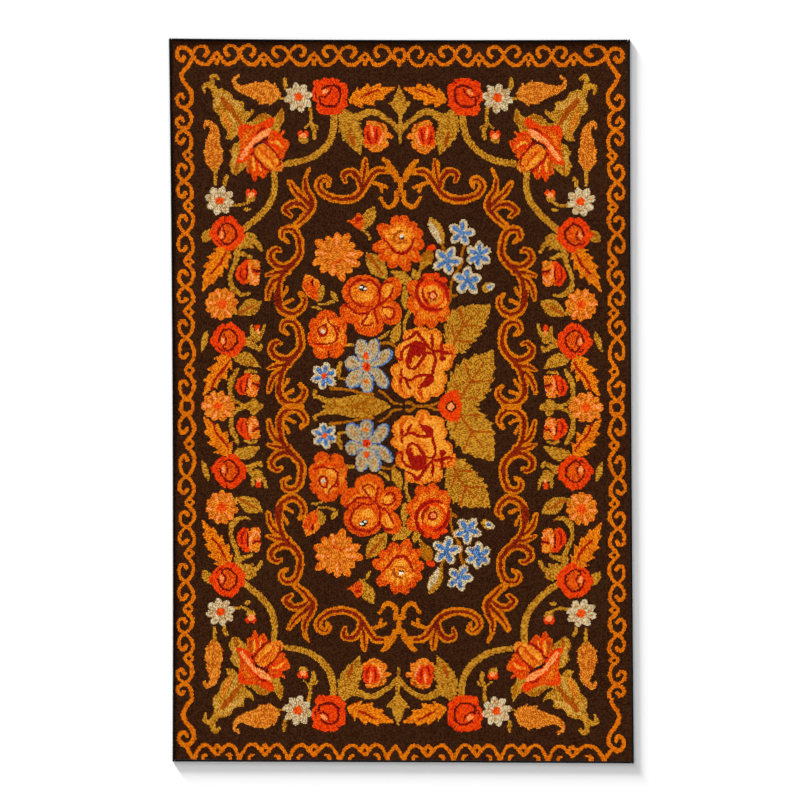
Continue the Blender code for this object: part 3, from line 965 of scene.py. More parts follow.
def golden_peony(pen):
    """The big golden flower at the heart of the bouquet, with heavy dark red lines."""
    petals = ((-19, -5, 12, 8, 0), (-21, -19, 9, 10, 10), (-14, -25, 10, 7.5, 20), (1, -28, 8.5, 10, 20),
              (14, -24, 9, 8, 30), (17, -14, 8, 8, 0), (22, 3, 9, 9, 0), (27, 13, 8, 9, 0),
              (13, 27, 8, 9, 0), (-1, 31, 10, 7, 0), (-10.5, 28, 7.5, 8, 10), (-17.5, 13, 9, 9.5, 0),
              (-2, 0, 22, 26, 0), (10, 10, 18, 16, 0))
    pen.ovals("orange", *petals)
    for x, y, long, wide, turn in petals[:11]:
        pen.oval("amber", 0.94 * x, 0.94 * y, 0.78 * long, 0.72 * wide, turn)
    pen.ovals("amber", (-4, 6, 12, 3.4, 70), (7, 4, 12, 4.4, 62), (0, -5, 9, 3, 20), (20, -2, 4, 9, -15),
              (3, -12, 6, 3, -10))
    pen.ovals("amber", (-11, -8, 9, 7, 20), (9, -2, 8, 13, 0), (-16, 16, 5, 8, 0), (4, -26, 6, 3, 20),
              (-20, -16, 6, 5, 0))
    pen.strokes(
        "orange",
        ((1, 2.4, 1), (-8, -8), (0, -3), (6, 6)),
        ((1, 2.2, 1), (12, 20), (20, 19), (27, 16)),
    )
    pen.strokes(
        "ember",
        ((0.8, 1.8, 0.8), (-22, -12), (-21, -22), (-15, -29)),
        ((0.8, 1.6, 0.8), (24, 18), (29, 15), (31, 9)),
        ((1.2, 2.6, 1.4), (-3, -22), (-1, -27), (1, -32)),
    )
    pen.shape("crimson", (-14, 14), (-9, 20), (0, 20.5), (2, 13), (-3, 8), (-8, 10), (-11, 1), (-14, 5))
    pen.shape("crimson", (10, -12), (4, -21), (-2, -22), (1, -16), (6, -11))
    lines = (((-25, 7), (-20, 6), (-19.5, 14), (-13, 20), (-5, 22), (1, 20), (3, 12), (-1, 5), (-6, -2),
              (-12, -2.5), (-15, 4), (-13, 12)),
             ((2, 11), (7, 11.6), (12, 11), (13.5, 4), (11, -5), (9.5, -10), (1, -10), (-5, -11),
              (-10, -14.5), (-16, -13), (-20, -9), (-19.5, -4)),
             ((10, -10), (10, -16), (5, -20), (-2, -22)), ((11.5, 14), (20, 13.5), (30, 11)),
             ((10.6, 29.5), (11, 17)), ((20, 23), (20.5, 15), (21, 7)), ((-20, -13), (-20.5, -18)),
             ((-15, -15), (-13, -20), (-11, -23)),
             ((-16, 25), (-10, 28), (-5, 32.5), (1, 26), (6, 19), (11.5, 14)))
    for line in lines:
        pen.stroke("crimson", (1.1, 1.9, 1.8, 1.2), *line)
    pen.oval("crimson", 21, 6.5, 3.4, 3)


def grape_leaf(pen, length, wide, bend):
    """A broad toothed leaf with soft darker veins."""
    leaf(pen, length, wide, "gold", teeth=7, vein="brown", vein_wide=1.3, ribs=2, notch=0.2, broad_at=1.0,
         full=0.5, bend=bend)


def bouquet(sheet):
    """The bouquet over the mirror row: stems and small leaves first, then the flowers."""
    pen = Pen(sheet)
    # stems and small leaves under the flowers
    pen.strokes(
        "olive",
        ((1.4, 1.3, 1.3, 1.2, 1.4), (63.5, 155), (60, 146), (60.5, 137), (54, 126), (50, 114), (49.5, 102),
         (45.5, 94.5)),
        (1.1, (57, 134), (58.5, 133.5)),
        ((1.6, 1.4), (51, 104), (55, 105.5)),
        ((1.8, 1.5, 1.3), (42, 165), (41, 156), (44, 149)),
    )
    leaf(pen.at(29, 184, -62), 30, 6.6, "gold", broad_at=0.9)
    pen.shape("cream", (29.5, 181), (29, 172), (34, 163), (38.5, 157), (39.5, 163), (37, 172), (33, 176))
    leaf(pen.at(20, 131, 64), 24, 6.4, "olive", broad_at=1.2)
    pen.stroke("gold", (1.4, 1.8, 1.4), (19, 130), (22, 137), (29.5, 138))
    pen.shape("red", (25.5, 151), (27, 155), (31, 157), (34.5, 156), (33.5, 151.5))
    leaf(pen.at(-34.5, 148.5, -54), 34, 8.8, "gold", vein="brown", vein_wide=1.6, broad_at=1.0)
    leaf(pen.at(12, 117, 150), 26, 6, "gold", broad_at=0.9)
    leaf(pen.at(17, 121, 110), 13, 4.4, "gold")
    leaf(pen.at(4, 91, 93), 26, 3.8, "gold")
    pen.stroke("gold", (1.8, 1.6, 1.6), (7.5, 89), (4, 80), (3.6, 70))
    leaf(pen.at(-9, 57, 70), 24, 5, "gold")
    pen.stroke("gold", (1.4, 1.8, 1.2), (-22, 62), (-17, 65), (-13, 69))
    pen.stroke("olive", (1.4, 1.2), (-21, 57), (-12, 58), (-5, 53))
    pen.stroke("gold", 1.4, (-56, 56), (-49, 56))
    leaf(pen.at(-41, 169, 60), 30, 6.4, "gold", broad_at=1.2)
    pen.stroke("gold", (0.9, 1.5, 1.2), (-38, 171), (-34, 168), (-31, 162))
    pen.shape("ember", (-54.5, 180), (-48, 182), (-43, 188.5), (-38, 184), (-37.5, 177), (-41, 171),
              (-47, 175), (-51, 178))
    pen.oval("crimson", -42.3, 182, 2.0, 3.6, 95)
    chrysanthemum(pen.at(-64, 145))
    peony(pen.at(-2, 158))
    # the tulip bud
    tulip = pen.at(-84, 98, 112)
    leaf(tulip, 30, 9, "orange", broad_at=1.25)
    leaf(tulip.at(-84, 98, 124), 26, 4.6, "ember", broad_at=1.4)
    leaf(tulip.at(-83, 99, 75), 17, 4.4, "gold", broad_at=1.0)
    pen.stroke("red", (0.8, 1.8, 0.8), (-84, 104), (-87, 111), (-92, 120))
    pen.stroke("maroon", (0.6, 1.5, 0.6), (-88.5, 114), (-89.3, 118), (-89, 121))
    pen.stroke("gold", (0.8, 1.2, 1.6), (-83, 96.5), (-75, 97), (-68, 99.5))
    leaf(pen.at(-63, 99.5, 128), 13, 2.8, "gold", broad_at=1.2)
    pen.stroke("gold", (1, 1.4, 0.8), (-89, 93), (-85, 93), (-80, 91.5))
    swirl_rose(pen.at(31.5, 105.5))
    open_rose(pen.at(-31.5, 99))
    ruffled_rose(pen.at(-74, 67, 0, 0.96))
    # leaves on the right
    grape_leaf(pen.at(50, 50, 51), 59, 20.5, 6.5)
    grape_leaf(pen.at(52, -8, 56), 68, 23, 1.5)
    golden_peony(pen.at(20, 36))
    forget_me_not(pen.at(-35, 35.6, 0, 0.94))
    star(pen.at(-77, 25, 80), 6, "heart")
    pen.strokes("gold", ((1.2, 2.6, 1.8), (-62, 22), (-63, 29), (-61, 38)), (1.2, (-62, 23), (-57, 21.6)))
    for x, y, turn, size, count in ((60.5, 168, 75, 1, 5), (46, 140.5, 65, 1.08, 5),
                                    (77.5, 145.5, 30, 1, 6), (66.5, 120, 90, 1.05, 5)):
        star(pen.at(x, y, turn, size), count)
    pen.oval("gold", 86.5, 114.5, 6.4, 4.4, 35)
    pen.oval("cream", 89, 115, 4.8, 3.4, 35)
    pen.oval("blue", 88, 114.6, 2.6, 1.5, 35)
    middle_leaf(pen)


def middle_leaf(pen):
    """What lies along the mirror row: a feather leaf, crossing stems and a red heart."""
    y = MIRROR_ROW
    leaf(pen.at(-12, y, 180), 68, 12, "gold", broad_at=0.9)
    pen.stroke("gold", (4, 4.5, 3, 1.8, 1.6), (-55, -1), (-72, -1), (-82, 2.4), (-87.5, 4.5), (-86.5, 9))
    for x0, x1, dy in ((-66, -42, 0.0), (-42, -28, 6.5), (-52, -30, 2.5)):
        pen.stroke("olive", (0.8, 1.5, 1), (x0, y + dy * 0.6), ((x0 + x1) / 2, y + dy), (x1, y + dy * 1.25))
    pen.strokes(
        "olive",
        ((1.8, 1.4, 1.3, 1.3, 1.8), (-71, 12.4), (-62, 12), (-50, 10.8), (-42, 8), (-30, 6.5)),
        ((1.2, 1.3, 1.2, 1), (-23, 10.5), (-15, 4.5), (-9, -1.5), (-1, -3.4)),
        ((1.2, 1.5, 1.3), (4, -1.8), (9, -1.6), (13, -5.4)),
        ((1.6, 1.6), (12, y), (30, y)),
        ((1.4, 1), (28, y + 0.5), (36.5, -1.8)),
    )
    heart = pen.at(49.5, y)
    heart.shape("red", (-12.5, 2), (-9, 9), (-2, 14.6), (6, 15.6), (8.5, 9), (10.5, 0), (8.5, -9),
                (6, -15.6), (-2, -14.6), (-9, -9), (-12.5, -2))
    heart.lobes("ground", 5.4, 4, 0.15)
    heart.lobes("peach", 3.4, 4, 0.15)


# The weave: the chart's stitches looked up on the sheets

def stray(x, y):
    """How far the weaver's hand has moved a stitch, in stitches: slow drift, and small steps of two rows."""
    across = DRIFT * (np.sin(y / 9.7 + 1.9 * np.sin(x / 31)) + 0.6 * np.sin(x / 14.3 + y / 23))
    along = DRIFT * (np.sin(x / 11.3 + 1.7 * np.sin(y / 37)) + 0.6 * np.sin(y / 16.1 - x / 19))
    pair, run = np.floor(y / 2), np.floor(x / 3)
    across = across + STEP * np.sin(pair * 12.9 + run * 4.1 + np.sin(pair * 3.3) * 5)
    along = along + STEP * np.sin(run * 9.7 + pair * 5.3 + np.sin(run * 2.9) * 5)
    return across, along


def leaning(x, y, slant):
    """How far left of its place in the chart the pattern lies, in stitches."""
    return np.interp(x, slant["across"], slant["by"]) * np.interp(y, (slant["from"], slant["to"]), (0, 1))


def weave_chart():
    """The yarn's number of every stitch: rows from the near end, columns from the left."""
    left, right = (-REACH_ACROSS, -PAST_ALONG), (REACH_ACROSS, REACH_ALONG)
    edging = Sheet(left, (PAST_ACROSS, REACH_ALONG))
    border(edging)
    near = Sheet((-REACH_ACROSS, -REACH_ALONG), (REACH_ACROSS, NEAR_BORDER + NEAR_MARGIN))
    near_border(near)
    quarter = Sheet(left, (PAST_ACROSS, REACH_ALONG))
    corner(quarter)
    top_row(quarter)
    side_column(quarter)
    half = Sheet((-PAST_ACROSS, -PAST_ALONG), right)
    frame_scrolls(half)
    spray = Sheet(left, right)
    bouquet(spray)

    x, y = np.meshgrid(np.arange(COLUMNS) + 0.5 - COLUMNS / 2, np.arange(ROWS) + 0.5 - ROWS / 2)
    across, along = stray(x, y)
    out = MIRROR_ROW - y
    far = out <= 0
    x = x + across
    leant = x + leaning(x, y, FAR_LEAN) * far + leaning(x, out, NEAR_LEAN) * ~far

    def far_row(part):
        """The row of the far half's chart that each stitch repeats in one part of the pattern."""
        low = np.interp(y, *FAR_DROP[part]) if part in FAR_DROP else 0
        repeated = np.where(far, y + low, MIRROR_ROW + np.interp(out, *NEAR_ROWS[part]))
        return np.maximum(repeated + along, LOWEST_ROW)

    end = far & (y > FAR_LEAN["to"])
    edge_x = np.where(end, x + np.interp(x, *BORDER_LEAN["far"]), np.where(far, x, leant))
    near_x = x + np.interp(x, *BORDER_LEAN["near"])
    near_y = np.minimum(y + along, NEAR_BORDER + NEAR_MARGIN - 2)
    far_edging = edging.look(-np.abs(edge_x), far_row("edging"))
    chart = np.where(y > NEAR_BORDER, far_edging, near.look(near_x, near_y))
    aside = np.abs(leant)
    for sheet, place, part in ((quarter, -aside, "sides"), (half, aside, "scrolls"), (spray, leant, "spray")):
        found = sheet.look(place, far_row(part))
        chart = np.where(found > 0, found, chart)
    return chart


# The rug's own shape

def mix(start, end, share):
    return start + (end - start) * share


def side_length(first, second):
    (x0, y0), (x1, y1) = CORNERS[first], CORNERS[second]
    return ((x1 - x0) ** 2 + (y1 - y0) ** 2) ** 0.5


WIDTH = (side_length("near_left", "near_right") + side_length("far_left", "far_right")) / 2
LENGTH = (side_length("near_left", "far_left") + side_length("near_right", "far_right")) / 2


def on_rug(across, along):
    """Where a point of the square chart, in metres from its near left corner, lies on the uneven rug."""
    u = across / WIDTH
    v = along / LENGTH
    near = [mix(a, b, u) for a, b in zip(CORNERS["near_left"], CORNERS["near_right"])]
    far = [mix(a, b, u) for a, b in zip(CORNERS["far_left"], CORNERS["far_right"])]
    bulge_along = 4 * v * (1 - v)
    bulge_across = 4 * u * (1 - u)
    x = mix(near[0], far[0], v) + bulge_along * mix(DRAWN_IN["left"], -DRAWN_IN["right"], u)
    y = mix(near[1], far[1], v) + bulge_across * mix(DRAWN_IN["near"], -DRAWN_IN["far"], v)
    return x, y


# The cloth

# Stitches of one yarn join into patches inside blocks of this many stitches each way
BLOCK = 8
# The cloth runs this far into the wool wound round its edge
TUCK = 0.001
INSET = EDGE_WIDE - TUCK
CLOTH_WIDE = WIDTH - 2 * INSET
CLOTH_LONG = LENGTH - 2 * INSET
# The top lies in slow waves of this height about the cloth's thickness
WAVE = 0.0004
# Where each part of the cloth lies on the baked picture: from and to, up the picture
FRONT_BAND = (0.020, 0.999)
BACK_BAND = (0.008, 0.018)
RIM_BAND = (0.001, 0.006)
BACKING = "ground"
# The whole chart as one patch
WHOLE = (0, 0, COLUMNS, ROWS, 0)


def patches_of(chart):
    """Rectangles of one yarn: first column, first row, end column, end row, yarn."""
    patches = []
    for first_row in range(0, ROWS, BLOCK):
        end_row = min(first_row + BLOCK, ROWS)
        for first in range(0, COLUMNS, BLOCK):
            growing = {}
            for row in range(first_row, end_row + 1):
                runs = {}
                if row < end_row:
                    stitches = chart[row, first : first + BLOCK]
                    turns = np.flatnonzero(np.diff(stitches)) + 1
                    for start, end in zip([0, *turns], [*turns, len(stitches)]):
                        run = (first + start, first + end, stitches[start])
                        runs[run] = growing.pop(run, row)
                for (start, end, yarn), began in growing.items():
                    patches.append((start, began, end, row, yarn))
                growing = runs
    return patches


def corners_of(patches):
    """Which crossings of the chart are corners of patches."""
    used = np.zeros((ROWS + 1, COLUMNS + 1), bool)
    for start, began, end, row, _ in patches:
        used[began, start] = used[began, end] = used[row, start] = used[row, end] = True
    return used


def numbered(used, first):
    """The number of each used crossing of the chart, and -1 elsewhere."""
    numbers = np.full(used.shape, -1)
    numbers[used] = np.arange(first, first + used.sum())
    return numbers


def ring_of(patch):
    """The crossings round a patch, anticlockwise: rows and columns."""
    start, began, end, row, _ = patch
    wide, tall = end - start, row - began
    rows = [began] * wide + [*range(began, row)] + [row] * wide + [*range(row, began, -1)]
    columns = [*range(start, end)] + [end] * tall + [*range(end, start, -1)] + [start] * tall
    return np.array(rows), np.array(columns)


def cloth_places(used, top):
    """The used crossings as points in metres."""
    rows, columns = np.nonzero(used)
    x, y = on_rug(INSET + columns / COLUMNS * CLOTH_WIDE, INSET + rows / ROWS * CLOTH_LONG)
    lift = WAVE * (np.sin(x * 11 + 2 * np.sin(y * 5)) + np.sin(y * 9 - 1.5 * np.sin(x * 7)))
    z = CLOTH_THICK + lift if top else np.zeros(len(rows))
    return np.column_stack([x, y, z])


def faces_of(patches, numbers, band, turned=False):
    """Each patch as a face, with its stitches and its place on the baked picture at every corner."""
    faces, stitches, baked = [], [], []
    for patch in patches:
        rows, columns = ring_of(patch)
        ring = numbers[rows, columns]
        kept = ring >= 0
        order = slice(None, None, -1) if turned else slice(None)
        faces.append(ring[kept][order].tolist())
        rows, columns = rows[kept][order], columns[kept][order]
        stitches.append(np.column_stack([columns, rows]))
        baked.append(np.column_stack([columns / COLUMNS, mix(*band, rows / ROWS)]))
    return faces, np.vstack(stitches), np.vstack(baked)


def rim_faces(top, bottom):
    """The narrow sides of the cloth, between the rims of its top and its underside."""
    rows, columns = ring_of(WHOLE)
    kept = top[rows, columns] >= 0
    rows, columns = rows[kept], columns[kept]
    faces, stitches, baked = [], [], []
    for n in range(len(rows)):
        ends = [(n + 1) % len(rows), n]
        r, c = rows[ends], columns[ends]
        faces.append([*top[r, c].tolist(), *bottom[r, c][::-1].tolist()])
        stitches.append(np.column_stack([c[[0, 1, 1, 0]], r[[0, 1, 1, 0]]]))
        along = np.array([n + 1, n, n, n + 1]) / len(rows)
        baked.append(np.column_stack([along, np.array(RIM_BAND)[[1, 1, 0, 0]]]))
    return faces, np.vstack(stitches), np.vstack(baked)


def screen_to_linear(colour):
    """A screen colour of 0 to 255 as the linear colour that the renderer works in."""
    c = np.array(colour) / 255
    return np.where(c > 0.04045, ((c + 0.055) / 1.055) ** 2.4, c / 12.92)


def paint_corners(mesh, name, colours, uneven):
    """A colour at every corner of the mesh, with how unevenly it is dyed beside it."""
    layer = mesh.color_attributes.new(name, "FLOAT_COLOR", "CORNER")
    layer.data.foreach_set("color", np.column_stack([colours, uneven]).ravel())


def make_cloth(material):
    """The cloth as one closed mesh: its woven top, its plain underside and the rim between them."""
    chart = weave_chart()
    front = patches_of(chart)
    back = patches_of(np.full_like(chart, CODE[BACKING]))
    on_front, on_back = corners_of(front), corners_of(back)
    rim_rows, rim_columns = ring_of(WHOLE)
    shared = on_front[rim_rows, rim_columns] | on_back[rim_rows, rim_columns]
    on_front[rim_rows, rim_columns] = on_back[rim_rows, rim_columns] = shared
    top = numbered(on_front, 0)
    bottom = numbered(on_back, on_front.sum())
    parts = [
        faces_of(front, top, FRONT_BAND),
        faces_of(back, bottom, BACK_BAND, turned=True),
        rim_faces(top, bottom),
    ]
    faces = [face for part in parts for face in part[0]]
    mesh = bpy.data.meshes.new("woven rug cloth")
    mesh.from_pydata(np.vstack([cloth_places(on_front, True), cloth_places(on_back, False)]), [], faces)
    for n, name in ((2, "OFBake"), (1, "stitches")):
        layer = mesh.uv_layers.new(name=name)
        layer.uv.foreach_set("vector", np.vstack([part[n] for part in parts]).astype(np.float32).ravel())
    yarns = [patch[4] for patch in front] + [CODE[BACKING]] * (len(faces) - len(front))
    corners = np.repeat(yarns, [len(face) for face in faces])
    uneven = np.array([yarn[2] for yarn in YARNS.values()])
    for shade, name in enumerate(("deep", "light")):
        dyes = np.array([screen_to_linear(yarn[shade]) for yarn in YARNS.values()])
        paint_corners(mesh, name, dyes[corners], uneven[corners])
    mesh.materials.append(material)
    cloth = bpy.data.objects.new("rug_cloth", mesh)
    bpy.context.scene.collection.objects.link(cloth)
    return cloth


# The whipped edge

# Wool wound over the edge: one turn every pitch, leaning a little, deeper between turns
WHIP_PITCH = 0.0052
WHIP_LEAN = 0.0030
WHIP_DIP = 0.16
WHIP_RINGS = 4
PROFILE_POINTS = 14
# How square the section is: 2 would be an oval
SQUARENESS = 2.8


def section():
    """The edge's section as shares of its width and height, anticlockwise, flat where it lies."""
    a = np.linspace(0, 2 * np.pi, PROFILE_POINTS, endpoint=False) - np.pi / 2
    side = np.sign(np.cos(a)) * np.abs(np.cos(a)) ** (2 / SQUARENESS)
    high = np.sign(np.sin(a)) * np.abs(np.sin(a)) ** (2 / SQUARENESS)
    return np.column_stack([side, high])


def make_edge(name, across, along, material):
    """One length of whipped edge over a stretch of the chart, in metres from its near left corner."""
    lies_along = along[1] - along[0] > across[1] - across[0]
    start, end = along if lies_along else across
    middle = sum(across if lies_along else along) / 2
    turns = round((end - start) / WHIP_PITCH)
    steps = turns * WHIP_RINGS
    shape = section()
    points = []
    for n in range(steps + 1):
        run = mix(start, end, n / steps)
        depth = 1 - WHIP_DIP * (0.5 + 0.5 * np.cos(2 * np.pi * n / WHIP_RINGS))
        aside = middle + shape[:, 0] * EDGE_WIDE / 2 * depth
        leant = np.clip(run + WHIP_LEAN * shape[:, 0], start, end)
        x, y = on_rug(aside, leant) if lies_along else on_rug(leant, aside)
        z = EDGE_THICK / 2 * (1 + np.where(shape[:, 1] > 0, depth, 1) * shape[:, 1])
        points.append(np.column_stack([x, y, z]))
    size = PROFILE_POINTS
    faces = []
    for n in range(steps):
        for k in range(size):
            ring = [n * size + k, n * size + (k + 1) % size]
            faces.append([*ring, ring[1] + size, ring[0] + size])
    faces.append([*range(size)][::-1])
    faces.append([steps * size + k for k in range(size)])
    if lies_along:
        faces = [face[::-1] for face in faces]
    mesh = bpy.data.meshes.new(name)
    mesh.from_pydata(np.vstack(points), [], faces)
    mesh.polygons.foreach_set("use_smooth", [True] * len(faces))
    mesh.materials.append(material)
    edge = bpy.data.objects.new(name, mesh)
    bpy.context.scene.collection.objects.link(edge)
    return edge


# Materials

# How strongly each stitch's own shade tells, and that of the patch of dye and of the fading round it
SHADE_OF_STITCH = 2.7
SHADE_OF_PATCH = 1.5
SHADE_OF_FADE = 0.8
PATCH_STITCHES = (3.6, 5.2)
FADE_STITCHES = 60.0
# Turns of the weft to a stitch, the depth of ribs and fibres in metres, and how round the ribs and turns are
WEFTS = 2
RIB_DEPTH = 0.0004
FUZZ_DEPTH = 0.00012
RIB_ROUND = 0.6
TURN_DEPTH = 0.6
# Painted shade: how light the colour stays in the hollows between the turns; and how much the fibres vary it
PAINTED_HOLLOW_SHADE = 0.70
FUZZ_LIGHT = 0.2
FUZZ_DARK = 0.02
# Fibres to a stitch, across and along
FIBRES = (5.0, 16.0)
WOOL_ROUGHNESS = 0.93
WOOL_SHINE = 0.02
WOOL_SHEEN = 0.015
SHEEN_ROUGHNESS = 0.6
# The edge's wool, in linear colours, and its strands and worn patches, to a metre
EDGE_DEEP = (0.003, 0.003, 0.0035, 1.0)
EDGE_LIGHT = (0.012, 0.0095, 0.0085, 1.0)
EDGE_STRANDS = 900.0
EDGE_PATCHES = 28.0
STRAND_SHADE = 1.2
EDGE_DARKER = 0.1


def node(tree, kind, values=(), **settings):
    """A new node, with its settings, and its inputs set to numbers or linked to sockets."""
    made = tree.nodes.new(kind)
    for name, value in settings.items():
        setattr(made, name, value)
    for slot, value in dict(values).items():
        if isinstance(value, bpy.types.NodeSocket):
            tree.links.new(value, made.inputs[slot])
        else:
            made.inputs[slot].default_value = value
    return made


def maths(tree, operation, *values):
    """The outcome of one sum on numbers and sockets."""
    return node(tree, "ShaderNodeMath", dict(enumerate(values)), operation=operation).outputs[0]


def wool_material(name, sheen):
    """A dull material, with its node tree and its shader."""
    material = bpy.data.materials.new(name)
    material.use_nodes = True
    tree = material.node_tree
    shader = tree.nodes["Principled BSDF"]
    shader.inputs["Roughness"].default_value = WOOL_ROUGHNESS
    shader.inputs["Specular IOR Level"].default_value = WOOL_SHINE
    shader.inputs["Sheen Weight"].default_value = sheen
    shader.inputs["Sheen Roughness"].default_value = SHEEN_ROUGHNESS
    return material, tree, shader


def blend_colours(tree, share, first, second, way="MIX"):
    """Two colours blended by a share of the second."""
    made = node(tree, "ShaderNodeMix", data_type="RGBA", blend_type=way, clamp_factor=True)
    colours = [socket for socket in made.inputs if socket.type == "RGBA"]
    for socket, value in [(made.inputs[0], share), (colours[0], first), (colours[1], second)]:
        if isinstance(value, bpy.types.NodeSocket):
            tree.links.new(value, socket)
        else:
            socket.default_value = value
    return next(socket for socket in made.outputs if socket.type == "RGBA")


def woven_wool():
    """Weft-faced weave: a rib for every stitch, turns of weft along it, a shade of the yarn for each."""
    material, tree, shader = wool_material("woven wool", WOOL_SHEEN)
    place = node(tree, "ShaderNodeUVMap", uv_map="stitches").outputs[0]
    stitch = node(tree, "ShaderNodeVectorMath", {0: place}, operation="FLOOR").outputs[0]
    own = node(tree, "ShaderNodeTexWhiteNoise", {"Vector": stitch}, noise_dimensions="2D").outputs["Value"]
    patches = (1 / PATCH_STITCHES[0], 1 / PATCH_STITCHES[1], 1.0)
    spread = node(tree, "ShaderNodeMapping", {"Vector": place, "Scale": patches}).outputs[0]
    patch = node(tree, "ShaderNodeTexNoise", {"Vector": spread, "Scale": 1.0, "Detail": 2.0})
    fade = node(tree, "ShaderNodeTexNoise", {"Vector": place, "Scale": 1 / FADE_STITCHES, "Detail": 1.0})
    deep = node(tree, "ShaderNodeVertexColor", layer_name="deep").outputs
    light = node(tree, "ShaderNodeVertexColor", layer_name="light").outputs["Color"]
    level = -(SHADE_OF_STITCH + SHADE_OF_PATCH + SHADE_OF_FADE) / 2
    share = maths(tree, "MULTIPLY_ADD", own, SHADE_OF_STITCH, level)
    share = maths(tree, "MULTIPLY_ADD", patch.outputs["Fac"], SHADE_OF_PATCH, share)
    share = maths(tree, "MULTIPLY_ADD", fade.outputs["Fac"], SHADE_OF_FADE, share)
    share = maths(tree, "MULTIPLY_ADD", share, deep["Alpha"], 0.5)
    colour = blend_colours(tree, share, deep["Color"], light)

    apart = node(tree, "ShaderNodeSeparateXYZ", {0: place}).outputs
    column = maths(tree, "FLOOR", apart["X"])
    rib = maths(tree, "ABSOLUTE", maths(tree, "SINE", maths(tree, "MULTIPLY", apart["X"], np.pi)))
    along = maths(tree, "MULTIPLY", apart["Y"], np.pi * WEFTS)
    nested = maths(tree, "MULTIPLY_ADD", column, np.pi / 2, along)
    turn = maths(tree, "ABSOLUTE", maths(tree, "SINE", nested))
    plump = maths(tree, "POWER", rib, RIB_ROUND)
    high = maths(tree, "MULTIPLY", plump, maths(tree, "MULTIPLY_ADD", turn, TURN_DEPTH, 1 - TURN_DEPTH))
    strands = node(tree, "ShaderNodeMapping", {"Vector": place, "Scale": (*FIBRES, 1.0)}).outputs[0]
    fuzz = node(tree, "ShaderNodeTexNoise", {"Vector": strands, "Scale": 1.0, "Detail": 2.0}).outputs["Fac"]

    # Painted shade: the yarn's colour is darkened in the hollows between ribs and turns, and fibres lighten
    # it at random
    painted_shade_and_fuzz = maths(tree, "MULTIPLY_ADD", high, 1 - PAINTED_HOLLOW_SHADE, PAINTED_HOLLOW_SHADE)
    painted_shade_and_fuzz = maths(tree, "MULTIPLY_ADD", fuzz, FUZZ_LIGHT, maths(tree, "SUBTRACT", painted_shade_and_fuzz, FUZZ_DARK))
    painted_shade_grey = node(tree, "ShaderNodeCombineColor", {"Red": painted_shade_and_fuzz, "Green": painted_shade_and_fuzz, "Blue": painted_shade_and_fuzz}).outputs[0]
    tree.links.new(blend_colours(tree, 1.0, colour, painted_shade_grey, "MULTIPLY"), shader.inputs["Base Color"])

    ribs = node(tree, "ShaderNodeBump", {"Height": high, "Distance": RIB_DEPTH, "Strength": 1.0}).outputs[0]
    hairs = {"Height": fuzz, "Distance": FUZZ_DEPTH, "Normal": ribs, "Strength": 1.0}
    tree.links.new(node(tree, "ShaderNodeBump", hairs).outputs[0], shader.inputs["Normal"])
    return material


def edge_wool():
    """Near-black wool, wound round the edge: fine strands with a little brown in them."""
    material, tree, shader = wool_material("edge wool", 0.0)
    place = node(tree, "ShaderNodeTexCoord").outputs["Object"]
    fine = {"Vector": place, "Scale": EDGE_STRANDS, "Detail": 3.0}
    broad = {"Vector": place, "Scale": EDGE_PATCHES, "Detail": 2.0}
    strand = node(tree, "ShaderNodeTexNoise", fine).outputs["Fac"]
    worn = node(tree, "ShaderNodeTexNoise", broad).outputs["Fac"]
    varied = maths(tree, "MULTIPLY_ADD", strand, STRAND_SHADE, -STRAND_SHADE / 2)
    share = maths(tree, "ADD", varied, maths(tree, "SUBTRACT", worn, EDGE_DARKER))
    tree.links.new(blend_colours(tree, share, EDGE_DEEP, EDGE_LIGHT), shader.inputs["Base Color"])
    bump = node(tree, "ShaderNodeBump", {"Height": strand, "Distance": FUZZ_DEPTH * 2, "Strength": 1.0})
    tree.links.new(bump.outputs[0], shader.inputs["Normal"])
    return material


# Floor, light and camera

FLOOR_WIDE = 400.0
# Just under the rug, so that the two don't share a plane
FLOOR_LEVEL = -0.0002
FLOOR_GREY = 0.95
FLOOR_ROUGHNESS = 0.9
# Lamps: the side that each one's light comes from, the angle it comes from in degrees, and its power
LAMPS = {
    "low": ((-5.45, 8.39, 0.96), 6.5, 14.8),
    "middle": ((-5.45, 8.39, 2.87), 24.0, 2.0),
    "high": ((2.5, -2.5, 3.0), 60.0, 0.67),
}
SKY_LIGHT = 0.32
# The picture, in points and in metres at the rug, and the camera's height, sensor in millimetres and reach
PICTURE_POINTS = 800
PICTURE_WIDE = 800 / 300
CAMERA_HIGH = 7.0
SENSOR_WIDE = 36.0
CAMERA_REACH = 200.0
# The rug's middle lies this many picture points from the picture's, right and down
OFF_MIDDLE = (1.4, 0.9)


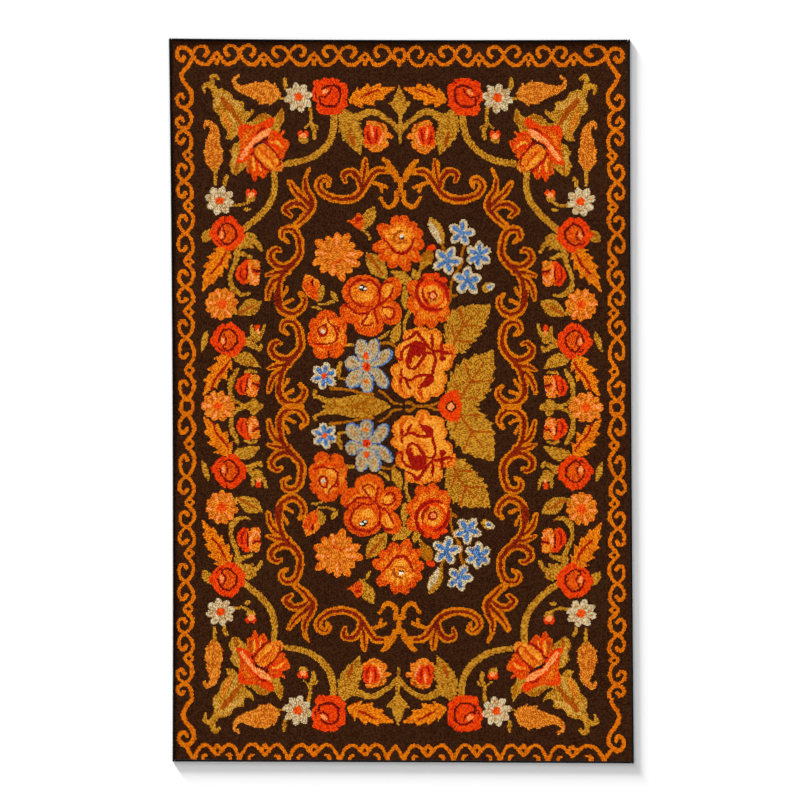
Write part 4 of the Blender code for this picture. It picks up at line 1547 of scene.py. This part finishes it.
def make_floor():
    """The pale floor that the rug lies on."""
    bpy.ops.mesh.primitive_plane_add(size=FLOOR_WIDE, location=(0, 0, FLOOR_LEVEL))
    floor = bpy.context.object
    floor.name = "floor"
    material = bpy.data.materials.new("pale floor")
    material.use_nodes = True
    shader = material.node_tree.nodes["Principled BSDF"]
    shader.inputs["Base Color"].default_value = (FLOOR_GREY, FLOOR_GREY, FLOOR_GREY, 1.0)
    shader.inputs["Roughness"].default_value = FLOOR_ROUGHNESS
    shader.inputs["Specular IOR Level"].default_value = 0.0
    floor.data.materials.append(material)


def soft_light(name, place, wide, power):
    """Even light over the whole floor, from the side that place lies on."""
    light = bpy.data.lights.new(name, "SUN")
    light.angle = np.radians(wide)
    light.energy = power
    lamp = bpy.data.objects.new(name, light)
    lamp.location = place
    lamp.rotation_euler = (-lamp.location).to_track_quat("-Z", "Y").to_euler()
    bpy.context.scene.collection.objects.link(lamp)


def make_lights():
    for name, (place, wide, power) in LAMPS.items():
        soft_light(name, place, wide, power)
    world = bpy.data.worlds.new("studio")
    world.use_nodes = True
    sky = world.node_tree.nodes["Background"]
    sky.inputs["Color"].default_value = (1.0, 1.0, 1.0, 1.0)
    sky.inputs["Strength"].default_value = SKY_LIGHT
    bpy.context.scene.world = world


def make_camera():
    """A camera straight above the rug."""
    camera = bpy.data.cameras.new("camera")
    camera.sensor_width = SENSOR_WIDE
    camera.lens = camera.sensor_width * CAMERA_HIGH / PICTURE_WIDE
    camera.clip_end = CAMERA_REACH
    holder = bpy.data.objects.new("camera", camera)
    metre = PICTURE_POINTS / PICTURE_WIDE
    holder.location = (-OFF_MIDDLE[0] / metre, OFF_MIDDLE[1] / metre, CAMERA_HIGH)
    bpy.context.scene.collection.objects.link(holder)
    bpy.context.scene.camera = holder


def main():
    ends = (EDGE_WIDE + CLEARANCE, WIDTH - EDGE_WIDE - CLEARANCE)
    layout = {
        "edge_left": ((0, EDGE_WIDE), (0, LENGTH)),
        "edge_right": ((WIDTH - EDGE_WIDE, WIDTH), (0, LENGTH)),
        "edge_near": (ends, (0, EDGE_WIDE)),
        "edge_far": (ends, (LENGTH - EDGE_WIDE, LENGTH)),
    }
    wound = edge_wool()
    for name, (across, along) in layout.items():
        edge = make_edge("whipped_" + name, across, along, wound)
        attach(edge, "root")
        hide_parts(name)
    cloth = make_cloth(woven_wool())
    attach(cloth, "root")
    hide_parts("woven_cloth")
    make_floor()
    make_lights()
    make_camera()
    bpy.context.scene.view_settings.view_transform = "Standard"


main()
